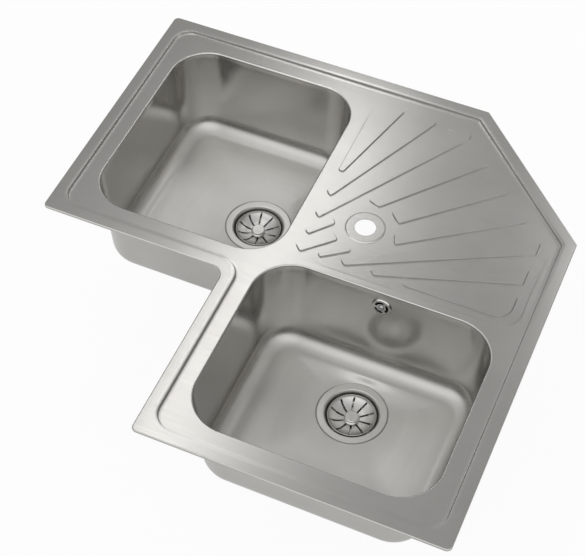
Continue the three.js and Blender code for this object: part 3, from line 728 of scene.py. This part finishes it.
def bar(radius, bottom, top, segments=48):
    return turned([(0, bottom), (radius, bottom), (radius, top), (0, top)], segments)


def moved(shape, matrix):
    points, faces = shape
    return [tuple(matrix @ Vector(point)) for point in points], faces


def worked(mesh, kind, **settings):
    """A mesh as one modifier leaves it."""
    body = placed("work", mesh)
    modifier = body.modifiers.new("work", kind)
    for name, value in settings.items():
        setattr(modifier, name, value)
    graph = bpy.context.evaluated_depsgraph_get()
    result = bpy.data.meshes.new_from_object(body.evaluated_get(graph))
    bpy.data.objects.remove(body)
    return result


def carved(mesh, tool_shape, operation="DIFFERENCE"):
    """A mesh with a closed shape cut from it or joined to it."""
    tool = placed("tool", mesh_of(tool_shape))
    result = worked(mesh, "BOOLEAN", operation=operation, object=tool, solver="EXACT")
    bpy.data.objects.remove(tool)
    return result


overflow_hole = 13
overflow_level = rim_top - 37
overflow_y = bowl_inner - tan(draft) * (neck_end - overflow_level)
facing_out = Matrix.Translation((drain[1], overflow_y, overflow_level))
facing_out = facing_out @ Matrix.Rotation(pi / 2 - draft, 4, "X")


def bowl_colour(spots):
    tone = noise(spots, 8, 3) * 0.6 + noise(spots, (6, 6, 700), 3) * 0.4
    return tone.between(0.25, 0.75).mix((0.49, 0.482, 0.461, 1), (0.55, 0.543, 0.521, 1))


def bowl_roughness(spots):
    """The floor is duller than the walls."""
    above_floor = spots.along("Z").between(-0.172, -0.150)
    unevenness = noise(spots, 10, 3) * 0.05 + noise(spots, (8, 8, 600), 3) * 0.04
    return 0.36 - above_floor * 0.2 + unevenness


bowl_relief = grained((1500, 40, 900), (9, 9, 320), 13)
drawn_steel = finish_of("drawn_steel", bowl_colour, bowl_roughness, 1.0, bowl_relief)
piece("drawn_bowl_left", mesh_of(drawn_bowl()), drawn_steel, "sink", "bowl_left")
right_bowl = carved(mesh_of(twin(drawn_bowl())), moved(bar(overflow_hole, -8, 8), facing_out))
piece("drawn_bowl_right", right_bowl, drawn_steel, "sink", "bowl_right")

# ---- The sound pads
# A sheet of bitumen is stuck under each bowl's floor, cut out round the waste. It deadens the
# drumming of running water, and its surface is embossed and matt.
pad_sheet = 2
pad_glue = 0.5


def damping_pad():
    body = Sheet(pad_sheet)
    shares = np.linspace(0.1, 0.85, 9)
    rings = [floor_ring(body, share, sheet + pad_glue) for share in shares]
    body.edge(rings[0], outside=True)
    body.edge(rings[-1])
    body.strips(rings)
    return body.shape()


def mottled(scale, detail, low, high):
    """A colour that wanders between two."""
    return lambda spots: noise(spots, scale, detail).between(0.3, 0.7).mix(low, high)


def uneven(scale, detail, spread, least):
    """A roughness that wanders up from its least value."""
    return lambda spots: noise(spots, scale, detail) * spread + least


def bitumen_relief(spots):
    pebbles = spots.make("TexVoronoi", {"feature": "SMOOTH_F1"}, {"Vector": spots, "Scale": 420.0})
    return bumped(spots, pebbles * 0.8 + noise(spots, 150, 3) * 0.4, 0.6, 0.0004)


bitumen_colour = mottled(60, 4, grey(0.030), grey(0.052))
bitumen = finish_of("bitumen", bitumen_colour, uneven(90, 2, 0.2, 0.72), 0.0, bitumen_relief)
piece("damping_pad_left", mesh_of(damping_pad()), bitumen, "sink", "sound_pad_left")
piece("damping_pad_right", mesh_of(twin(damping_pad())), bitumen, "sink", "sound_pad_right")

# ---- The rim seal
# A strip of closed-cell foam with a glued face runs round the underside of the rim, and is squeezed
# between the rim and the worktop. It and all pieces that touch below stand a small gap apart.
gap = 0.3
seal_height = rim_top - sheet - gap
seal_inset, seal_end = 3.5, 13


def lofted(rings):
    """A closed skin over rings of points, the last joined to the first."""
    points = [point for ring in rings for point in ring]
    count = len(rings[0])
    faces = []
    for r in range(len(rings)):
        a, b = r * count, (r + 1) % len(rings) * count
        faces += [(a + k, a + (k + 1) % count, b + (k + 1) % count, b + k) for k in range(count)]
    return points, faces


def edge_strip():
    section = rounded([
        (seal_inset, 0, 0.7), (seal_end, 0, 0.7), (seal_end, seal_height, 0.5),
        (seal_inset, seal_height, 0.5),
    ])
    return lofted([[(x, y, z) for x, y in loop(rim_corners, inset, 8, 30)] for inset, z in section])


def foam_relief(spots):
    cells = spots.make("TexVoronoi", None, {"Vector": spots, "Scale": 900.0})
    return bumped(spots, cells, 0.7, 0.0003)


foam_colour = mottled(700, 3, grey(0.035), grey(0.075))
foam = finish_of("foam", foam_colour, uneven(400, 2, 0.1, 0.88), 0.0, foam_relief)
piece("edge_seal", mesh_of(edge_strip()), foam, "sink", "rim_seal")

# ---- The wastes
# A polished flange of stainless steel sits in the recess of each bowl's floor on a rubber gasket.
# One screw through the middle of its throat pulls the black cup up under the floor.
flange_radius = 57.5
flange_sheet = 1.2
flange_top = seat_top + gap + flange_sheet
throat = 44
throat_floor = flange_top - 27
gasket_sheet = 2
gasket_bore = 48
gasket_top = seat_top - sheet - gap
gasket_end = gasket_top - gasket_sheet
cup_top = gasket_end - gap
cup_radius = 49
cup_wall = 2.5
cup_floor = cup_top - 56
outlet_bore = 17
outlet_thread = 20
outlet_end = cup_floor - 26
screw_bore = 3.3
hose_inlet = cup_top - 34
centres = {"left": tuple(drain), "right": tuple(drain[::-1])}


def joined(shapes):
    """Several shapes as one."""
    points, faces = [], []
    for more_points, more_faces in shapes:
        first = len(points)
        points += more_points
        faces += [tuple(i + first for i in face) for face in more_faces]
    return points, faces


def about(x, y, z=0.0):
    return Matrix.Translation((x, y, z))


def turn(degrees, axis="Z"):
    return Matrix.Rotation(radians(degrees), 4, axis)


flange_mesh = mesh_of(turned([
    (screw_bore, throat_floor - flange_sheet), (throat - 9, throat_floor - flange_sheet, 4),
    (throat - 2.8, throat_floor + 3.2, 5), (throat + 1.2, flange_top - 3, 2),
    (throat + 2.4, flange_top - flange_sheet, 0.8), (flange_radius, flange_top - flange_sheet),
    (flange_radius, flange_top - 0.6), (flange_radius - 0.6, flange_top, 0.4),
    (throat + 2.6, flange_top, 2.4), (throat + 0.1, flange_top - 3, 3),
    (throat - 4.1, throat_floor + 3.4, 5), (throat - 9.5, throat_floor, 4),
    (screw_bore, throat_floor),
], 128))
throat_hole = bar(7, throat_floor - 4, throat_floor + 4, 40)
throat_holes = joined([moved(throat_hole, turn(60 * i) @ about(21, 0)) for i in range(6)])
flange_mesh = carved(flange_mesh, throat_holes)


def polished(name, centre, least=0.08):
    """Steel polished on a lathe, with faint rings about a centre, and its least roughness."""
    middle = tuple(0.001 * value for value in centre)

    def rings(spots, pitch):
        away = spots.make("VectorMath", {"operation": "DISTANCE"}, {0: spots, 1: middle}, 1)
        sockets = {"W": away * pitch + noise(spots, 40, 2) * 0.6, "Detail": 3.0, "Scale": 1.0}
        return spots.make("TexNoise", {"noise_dimensions": "1D"}, sockets)

    def colour(spots):
        tone = noise(spots, 30, 3) * 0.5 + rings(spots, 900) * 0.5
        return tone.between(0.3, 0.7).mix((0.54, 0.533, 0.513, 1), (0.60, 0.593, 0.572, 1))

    def roughness(spots):
        return rings(spots, 1400) * 0.08 + noise(spots, 60, 3) * 0.08 + least

    def relief(spots):
        height = rings(spots, 2600) * 0.005 + noise(spots, 35, 1) * 0.1
        return bumped(spots, height, 0.4, 0.0005)

    return finish_of(name, colour, roughness, 1.0, relief)


def dimpled(scale, detail, strength):
    """A fine relief of one noise."""
    return lambda spots: bumped(spots, noise(spots, scale, detail), strength, 0.0002)


bright, satin = {}, {}
for side_name, (x, y) in centres.items():
    bright[side_name] = polished("polished_steel_" + side_name, (x, y, flange_top), 0.2)
    satin[side_name] = polished("flange_steel_" + side_name, (x, y, flange_top), 0.26)
rubber_colour = mottled(200, 3, grey(0.018), grey(0.032))
rubber = finish_of("rubber", rubber_colour, uneven(160, 3, 0.2, 0.6), 0.0, dimpled(900, 2, 0.3))
gasket_mesh = mesh_of(turned([
    (gasket_bore, gasket_end, 0.6), (flange_radius - 2, gasket_end, 0.6),
    (flange_radius - 2, gasket_top, 0.6), (gasket_bore, gasket_top, 0.6),
]))


def block(x, y, z):
    """A box between pairs of coordinates."""
    points = [(x[i], y[j], z[k]) for i in (0, 1) for j in (0, 1) for k in (0, 1)]
    faces = [(0, 1, 3, 2), (4, 6, 7, 5), (0, 4, 5, 1), (2, 3, 7, 6), (0, 2, 6, 4), (1, 5, 7, 3)]
    return points, faces


def threaded(radius, low, high, pitch, depth):
    """The outer side of a thread in a profile, as rings from low to high."""
    turns = int((high - low) / pitch)
    points = []
    for k in range(turns):
        z = low + (high - low) * k / turns
        points.append((radius - depth, z))
        points += [(radius - 0.1, z + rise * pitch) for rise in (0.4, 0.6)]
    return points + [(radius - depth, high)]


def cup_mesh(with_inlet):
    mesh = mesh_of(turned([
        (outlet_bore, outlet_end),
        *threaded(outlet_thread, outlet_end + 1, cup_floor - 3, 3.0, 0.9),
        (outlet_thread, cup_floor - 2), (outlet_thread, cup_floor + 2, 2),
        (cup_radius - 12, cup_floor + 6, 6), (cup_radius - 3, cup_floor + 18, 8),
        (cup_radius, cup_top - 5.2, 1), (flange_radius - 1.5, cup_top - 4.2, 0.6),
        (flange_radius - 1.5, cup_top, 0.5), (cup_radius - cup_wall, cup_top, 0.5),
        (cup_radius - 3 - cup_wall, cup_floor + 18, 6),
        (cup_radius - 13, cup_floor + 6 + cup_wall, 5),
        (outlet_bore, cup_floor + 2 + cup_wall, 1.5),
    ]))
    boss_top = throat_floor - flange_sheet - 8
    boss_end = boss_top - 14
    for i in range(3):
        web = block((0, cup_radius - 5.5), (-1.2, 1.2), (boss_end + 2, boss_top - 2))
        mesh = carved(mesh, moved(web, turn(30 + 120 * i)), "UNION")
    mesh = carved(mesh, bar(6.5, boss_end, boss_top, 32), "UNION")
    mesh = carved(mesh, bar(screw_bore, boss_end - 5, boss_top + 5, 24))
    if with_inlet:
        sideways = about(0, 0, hose_inlet) @ turn(-90, "X")
        mesh = carved(mesh, moved(bar(8, cup_radius - 4, cup_radius + 18, 40), sideways), "UNION")
        mesh = carved(mesh, moved(bar(6, cup_radius - 12, cup_radius + 19, 40), sideways))
    return mesh


def plastic_finish(name, dark, light):
    """Moulded plastic with a fine grain and faint sink marks."""
    def relief(spots):
        return bumped(spots, noise(spots, 1400, 2) + noise(spots, 60, 1), 0.25, 0.0002)

    return finish_of(name, mottled(45, 3, dark, light), uneven(120, 3, 0.16, 0.4), 0.0, relief)


black_plastic = plastic_finish("black_plastic", grey(0.016), grey(0.026))


def slotted(mesh, radius, top, width, depth):
    """A screw's head with a cross recess cut into its top."""
    for angle in (0, 90):
        slot = block((-radius, radius), (-width / 2, width / 2), (top - depth, top + 1))
        mesh = carved(mesh, moved(slot, turn(angle)))
    return mesh


screw_seat = throat_floor + gap
screw_end = throat_floor - flange_sheet - 20
screw_mesh = slotted(mesh_of(turned([
    (0, screw_end), (2.2, screw_end), *threaded(3, screw_end + 0.4, screw_seat - 4, 1.0, 0.4),
    (3, screw_seat - 3.5), (3, screw_seat), (5.5, screw_seat), (5.5, screw_seat + 1.2),
    (5.1, screw_seat + 1.9), (3.6, screw_seat + 2.5), (0, screw_seat + 2.6),
], 40)), 3.2, screw_seat + 2.6, 1.0, 1.3)
zinc_colour = mottled(160, 4, (0.52, 0.54, 0.56, 1), (0.66, 0.68, 0.69, 1))
zinc = finish_of("zinc", zinc_colour, uneven(220, 3, 0.25, 0.24), 1.0, dimpled(500, 3, 0.25))
nut_end, nut_top = outlet_end - 6, outlet_end + 10
washer_mesh = mesh_of(turned([
    (outlet_bore, nut_end + 2.3, 0.3), (outlet_thread, nut_end + 2.3, 0.5),
    (outlet_thread, outlet_end - 1.6), (outlet_thread - 1.4, outlet_end - gap),
    (outlet_bore, outlet_end - gap),
]))


def gripped(skin, bore, lobes, count):
    """A nut with lobes for the fingers: a skin of (radius, z, swell) and a bore of (radius, z)."""
    angles = [2 * pi * k / count for k in range(count)]
    rings = []
    for radius, z, swell in [*skin, *((radius, z, 0.0) for radius, z in bore)]:
        reaches = [radius + swell * cos(lobes * angle) for angle in angles]
        rings.append([(r * cos(a), r * sin(a), z) for r, a in zip(reaches, angles)])
    return lofted(rings)


grip = 27
nut_mesh = mesh_of(gripped([
    (grip - 1.4, nut_end, 1.0), (grip - 0.4, nut_end + 0.4, 1.0), (grip, nut_end + 1.4, 1.0),
    (grip, nut_top - 1.4, 1.0), (grip - 0.4, nut_top - 0.4, 1.0), (grip - 1.4, nut_top, 1.0),
], [
    (outlet_thread + 0.9, nut_top), (outlet_thread + 0.3, nut_top - 0.8),
    (outlet_thread + 0.3, nut_end + 2), (outlet_bore, nut_end + 2), (outlet_bore, nut_end + 0.4),
    (outlet_bore + 0.4, nut_end),
], 8, 144))
for side_name, (x, y) in centres.items():
    for name, mesh, finish, node in (
        ("strainer_flange_", flange_mesh, satin[side_name], "waste_flange_"),
        ("seat_gasket_", gasket_mesh, rubber, "floor_gasket_"),
        ("strainer_cup_", cup_mesh(side_name == "right"), black_plastic, "waste_cup_"),
        ("cup_screw_", screw_mesh, zinc, "cup_bolt_"),
        ("cone_washer_", washer_mesh, rubber, "outlet_washer_"),
        ("thread_nut_", nut_mesh, black_plastic, "outlet_nut_"),
    ):
        piece(name + side_name, mesh, finish, "sink", node + side_name, place=about(x, y))

# ---- The strainer baskets
# Each is a pressed dish with slots all round, its squat knob turned from bar. The stem goes through
# the dish to a steel disc over a rubber lip that closes the waste when the basket is pushed down.
basket_radius = 40.5
basket_rim = flange_top - 5
basket_depth = 11
basket_sheet = 1
hub_radius = 5.4
knob_radius = 11.5
slot_count = 10
slot_width = 3.4
lip_bottom = throat_floor + gap
plug_top = lip_bottom + 3


def dish_level(x, y):
    away = max(hypot(x, y), knob_radius + 2)
    return basket_rim - basket_depth * (1 - (away / basket_radius) ** 3.4)


def dish_slot(number):
    """One slot's ring: straight out from the knob, bending a little clockwise, with round ends."""
    first, last, bend = knob_radius + 3.2, basket_radius - 5.2, 0.06
    middle = []
    for share in np.linspace(0, 1, 13):
        reach, angle = first + (last - first) * share, -bend * share ** 2
        middle.append(Vector((reach * cos(angle), reach * sin(angle))))
    sides = [[], []]
    for i, point in enumerate(middle):
        along = (middle[min(i + 1, 12)] - middle[max(i - 1, 0)]).normalized()
        across = Vector((-along.y, along.x)) * (slot_width / 2)
        sides[0].append(point - across)
        sides[1].append(point + across)
    ring = []
    for side, end in ((sides[0], middle[-1]), (sides[1][::-1], middle[0])):
        ring += side
        ring += arc(end, side[-1] - end, pi, 6)[1:-1]
    spin = Matrix.Rotation(2 * pi * number / slot_count, 2)
    return np.array([tuple(spin @ point) for point in ring])


def strainer_dish():
    body = Sheet(basket_sheet)
    rolled = []
    for away, down in ((0, 0.9), (0.08, 0.5), (0.4, 0.12), (0.9, 0.0), (1.5, 0.35)):
        rolled.append(body.ring(circle(0, 0, basket_radius - away, 144), basket_rim - down))
    rolled.append(body.ring(circle(0, 0, basket_radius - 2.4, 144), dish_level))
    body.edge(rolled[0], outside=True)
    body.strips(rolled)
    holes = [body.ring(dish_slot(i), dish_level) for i in range(slot_count)]
    holes.append(body.ring(circle(0, 0, hub_radius, 36), dish_level))
    for hole in holes:
        body.edge(hole)
    reaches = (8, 11, 13.5, 16, 19, 22, 25, 28, 31, 33.5, 36)
    places = [place for reach in reaches for place in circle(0, 0, reach, int(reach * 2.6))]
    body.fill(rolled[-1], holes, places, 0.9, dish_level)
    return body.shape()


dish_mesh = mesh_of(strainer_dish())
hub_floor = dish_level(0, 0)
knob_top = hub_floor + 7
knob_foot = hub_floor + gap
knob_mesh = mesh_of(turned([
    (0, plug_top + 2.2), (hub_radius - 0.4, plug_top + 2.2, 0.4), (hub_radius - 0.4, knob_foot),
    (knob_radius + 1.5, knob_foot), (knob_radius + 1.2, knob_foot + 0.6, 0.3),
    (knob_radius - 1, knob_foot + 2.2, 1.2), (knob_radius - 1.6, knob_top - 2.7, 0.4),
    (knob_radius - 0.1, knob_top - 2.1, 0.4), (knob_radius, knob_top - 0.7, 0.5),
    (knob_radius - 1.6, knob_top + 0.1, 0.8), (0, knob_top),
]))
disc_mesh = mesh_of(turned([
    (3, plug_top + gap), (27, plug_top + gap, 0.3), (27, plug_top + 1.1),
    (26.4, plug_top + 1.9, 0.5), (8, plug_top + 1.9, 1), (3, plug_top + 1.9),
]))
lip_mesh = mesh_of(turned([
    (7, lip_bottom), (27.5, lip_bottom, 1), (30.5, lip_bottom + 1.2, 0.4),
    (30.5, plug_top - 0.6, 0.4), (28.5, plug_top, 0.5), (7, plug_top),
]))
for side_name, (x, y) in centres.items():
    for name, mesh, finish, node in (
        ("strainer_dish_", dish_mesh, satin[side_name], "basket_"),
        ("strainer_knob_", knob_mesh, bright[side_name], "basket_knob_"),
        ("stopper_disc_", disc_mesh, bright[side_name], "plug_plate_"),
        ("stopper_lip_", lip_mesh, rubber, "plug_seal_"),
    ):
        body = "basket_" + side_name
        piece(name + side_name, mesh, finish, body, node + side_name, place=about(x, y))

# ---- The overflow
# A pressed rosette covers the hole in the right bowl's back wall. Its screw holds the black box
# outside the wall. A ribbed hose drops from it and bends under the bowl to the inlet of the cup.
rosette_radius = 17
wall_gasket_back = -sheet - gap
box_front = wall_gasket_back - gasket_sheet - gap
box_back = box_front - 20
box_radius = 17
tube_radius, tube_bore = 8, 6


def kidney():
    """The outline of an opening, along an arc, with round ends."""
    middle, width, reach = 10, 4, 0.66
    outer = [(middle + width / 2, a) for a in np.linspace(-reach, reach, 17)]
    inside = [(middle - width / 2, a) for a in np.linspace(reach, -reach, 13)]
    ring = [Vector((r * cos(a), r * sin(a))) for r, a in outer]
    for sign, back in ((1, inside), (-1, [])):
        end = Vector((middle * cos(reach), sign * middle * sin(reach)))
        ring += arc(end, ring[-1] - end, pi, 8)[1:-1]
        ring += [Vector((r * cos(a), r * sin(a))) for r, a in back]
    return ring


def column(ring, low, high):
    """A straight column over a plan ring."""
    count = len(ring)
    points = [(x, y, low) for x, y in ring] + [(x, y, high) for x, y in ring]
    faces = [tuple(reversed(range(count))), tuple(range(count, 2 * count))]
    faces += [(k, (k + 1) % count, (k + 1) % count + count, k + count) for k in range(count)]
    return points, faces


rosette = mesh_of(turned([
    (2.6, gap), (rosette_radius, gap), (rosette_radius, 1.3, 0.4), (rosette_radius - 1.2, 2.7, 0.7),
    (rosette_radius - 2.8, 2.8, 0.5), (rosette_radius - 3.8, 2.3, 0.6), (6, 2.7, 1.5), (4.4, 2.2),
    (2.6, 2.2),
], 112))
openings = joined([moved(column(kidney(), -1, 6), turn(angle)) for angle in (0, 120, 240)])
rosette = carved(rosette, openings)
cover_steel = polished("polished_steel_overflow", tuple(facing_out.translation))
piece("overflow_cover", rosette, cover_steel, "sink", "overflow_rosette", place=facing_out)
cover_screw = slotted(mesh_of(turned([
    (0, box_front - 8), (1.5, box_front - 8), *threaded(1.9, box_front - 7.5, 1.6, 0.7, 0.3),
    (1.9, 2.5), (4.2, 2.5), (4.2, 3.0), (3.6, 3.9), (2.4, 4.4), (0, 4.6),
], 36)), 2.4, 4.6, 0.8, 1.0)
piece("cover_screw", cover_screw, zinc, "sink", "overflow_screw", place=facing_out)
wall_gasket = mesh_of(turned([
    (overflow_hole + 1, wall_gasket_back - gasket_sheet, 0.5),
    (box_radius + 2.5, wall_gasket_back - gasket_sheet, 0.5),
    (box_radius + 2.5, wall_gasket_back, 0.5), (overflow_hole + 1, wall_gasket_back, 0.5),
], 64))
piece("wall_gasket", wall_gasket, rubber, "sink", "overflow_gasket", place=facing_out)

hose_x = drain[1]
hose_y = overflow_y + 16.5
spigot_top = overflow_level - box_radius + 3
spigot_end = spigot_top - 22


def overflow_box():
    below = about(hose_x, hose_y)
    mesh = mesh_of(moved(turned([
        (0, box_back), (box_radius, box_back, 2.5), (box_radius, box_front - 3, 0.6),
        (box_radius + 2.5, box_front - 3, 0.5), (box_radius + 2.5, box_front, 0.5), (0, box_front),
    ], 72), facing_out))
    mesh = carved(mesh, moved(bar(tube_radius, spigot_end, spigot_top + 6, 40), below), "UNION")
    mesh = carved(mesh, moved(bar(overflow_hole, box_back + 2.5, box_front + 2, 56), facing_out))
    mesh = carved(mesh, moved(bar(tube_bore, spigot_end - 1, spigot_top + 8, 40), below))
    mesh = carved(mesh, moved(bar(4.5, box_back + 1, box_front - 4, 32), facing_out), "UNION")
    return carved(mesh, moved(bar(2.2, box_back + 6, box_front, 24), facing_out))


piece("overflow_box", overflow_box(), black_plastic, "sink", "overflow_housing")

hose_radius = 12.5
hose_bore = 9
hose_bend = 45
hose_top = spigot_top - 6
hose_end = drain[0] + cup_radius + 5
hose_drop = hose_top - hose_inlet - hose_bend
hose_arc = hose_bend * pi / 2
hose_length = hose_drop + hose_arc + hose_y - hose_bend - hose_end
cuff = 14
rib_count = round((hose_length - 2 * cuff) / 5.6)


def hose_ring(distance, radius, sides=40):
    """A ring round the hose, at a distance along it from its upper end."""
    angle = min(max(distance - hose_drop, 0), hose_arc) / hose_bend
    past = max(0, distance - hose_drop - hose_arc)
    y = hose_y - hose_bend * (1 - cos(angle)) - past
    z = hose_top - min(distance, hose_drop) - hose_bend * sin(angle)
    points = []
    for k in range(sides):
        around = 2 * pi * k / sides
        out = radius * sin(around)
        points.append((hose_x + radius * cos(around), y + out * cos(angle), z + out * sin(angle)))
    return points


def ribbed_hose():
    pitch = (hose_length - 2 * cuff) / rib_count
    plain = hose_radius - 0.5
    rings = [hose_ring(0, plain - 0.4), hose_ring(0.5, plain), hose_ring(cuff - 2, plain)]
    rib = ((0, 1.6), (0.14, 1.5), (0.3, 0.7), (0.42, 0.12), (0.58, 0), (0.72, 0.12), (0.86, 0.9))
    for k in range(rib_count):
        rings += [hose_ring(cuff + (k + share) * pitch, hose_radius - down) for share, down in rib]
    rings.append(hose_ring(hose_length - cuff, hose_radius - 1.6))
    rings += [hose_ring(hose_length - cuff + 2, plain), hose_ring(hose_length - 0.5, plain)]
    rings.append(hose_ring(hose_length, plain - 0.4))
    rings += [hose_ring(distance, hose_bore) for distance in np.linspace(hose_length, 0, rib_count)]
    return lofted(rings)


grey_plastic = plastic_finish("grey_plastic", grey(0.42), grey(0.50))
piece("ribbed_hose", mesh_of(ribbed_hose()), grey_plastic, "sink", "overflow_hose")
collar_radius = hose_radius + 2.9
collar = mesh_of(gripped([
    (collar_radius - 0.9, 1, 0), (collar_radius - 0.2, 1.4, 0.15), (collar_radius, 2.2, 0.3),
    (collar_radius, 9.8, 0.3), (collar_radius - 0.2, 10.6, 0.15), (collar_radius - 0.9, 11, 0),
], [
    (hose_radius + 0.7, 11), (hose_radius + 0.2, 10.4), (hose_radius + 0.2, 1.5),
    (hose_radius + 0.7, 1),
], 24, 240))
upper = about(hose_x, hose_y, hose_top - 12)
lower = about(hose_x, hose_end, hose_inlet) @ turn(-90, "X")
piece("hose_collar_upper", collar, black_plastic, "sink", "hose_nut_upper", place=upper)
piece("hose_collar_lower", collar, black_plastic, "sink", "hose_nut_lower", place=lower)

# ---- The fixing clips
# A small channel of zinc-plated steel is welded under the deck at eight places. A screw through it
# draws a toothed claw up against the underside of the worktop, under which the claw swings out.
clip_inset = 37.5
channel_top = deck_top - sheet - gap
channel_foot = channel_top - 14
claw_top = -32
claw_sheet = 2.5
claw_foot = claw_top - claw_sheet
claw_reach = 36
tooth_top = -29


def extruded(profile, width):
    """A profile in X and Z, made thick along Y."""
    points, faces = column(rounded(profile), -width / 2, width / 2)
    return [(x, y, z) for x, z, y in points], faces


def bevelled(mesh, width):
    """A mesh with its sharp edges rounded over."""
    limits = {"limit_method": "ANGLE", "angle_limit": radians(50)}
    return worked(mesh, "BEVEL", width=0.001 * width, segments=2, **limits)


channel = mesh_of(extruded([
    (-7.2, channel_top, 2.2), (-7.2, channel_foot, 2.2), (7.2, channel_foot),
    (7.2, channel_foot + 1.5), (-5.7, channel_foot + 1.5, 0.8), (-5.7, channel_top - 1.5, 0.8),
    (7.2, channel_top - 1.5), (7.2, channel_top),
], 16))
channel = bevelled(carved(channel, bar(2.8, channel_foot - 2, channel_foot + 4, 32)), 0.25)
hook = mesh_of(extruded([
    (-6.5, claw_foot, 0.8), (claw_reach - 1, claw_foot, 1.2), (claw_reach, claw_foot + 1.6),
    (claw_reach, tooth_top, 0.5), (claw_reach - 2.5, tooth_top, 0.5),
    (claw_reach - 4.5, claw_top, 1), (-6.5, claw_top, 0.8),
], 14))
notch = block((claw_reach - 6, claw_reach + 1), (-1.5, 1.5), (claw_top, tooth_top + 1))
hook = bevelled(carved(carved(hook, notch), bar(2.8, claw_foot - 1, claw_top + 1, 32)), 0.3)
head_top = claw_foot - gap
clip_bolt = mesh_of(turned([
    (0, head_top - 1), (2.1, head_top - 1),
    *threaded(2.5, head_top - 0.6, channel_foot + 6, 0.9, 0.35), (1.6, channel_foot + 6.5),
    (0, channel_foot + 6.5),
], 32))
hexagon = [(5 * cos(pi * k / 3), 5 * sin(pi * k / 3)) for k in range(6)]
clip_bolt = carved(clip_bolt, column(hexagon, head_top - 3.2, head_top), "UNION")
clips = [
    (-half, drain[1], 180),
    (drain[0] - 50, half, 90),
    (half - chamfer - 21, half, 90), (half - chamfer / 2, half - chamfer / 2, 45),
    (half, half - chamfer - 21, 0),
    (half, drain[0] - 50, 0),
    (drain[1], -half, -90),
    (drain[0] - 110, inner, -90),
]
for number, (x, y, degrees) in enumerate(clips, 1):
    out = radians(degrees)
    stand = about(x - clip_inset * cos(out), y - clip_inset * sin(out)) @ turn(degrees)
    tail = "_" + str(number)
    for name, mesh, body, node, place in (
        ("clip_channel", channel, "sink", "clip_bracket", stand),
        ("clip_bolt", clip_bolt, "sink", "clip_screw", stand),
        ("clip_hook", hook, "claw" + tail, "clip_claw", stand @ turn(90)),
    ):
        piece(name + tail, mesh, zinc, body, node + tail, place=place)
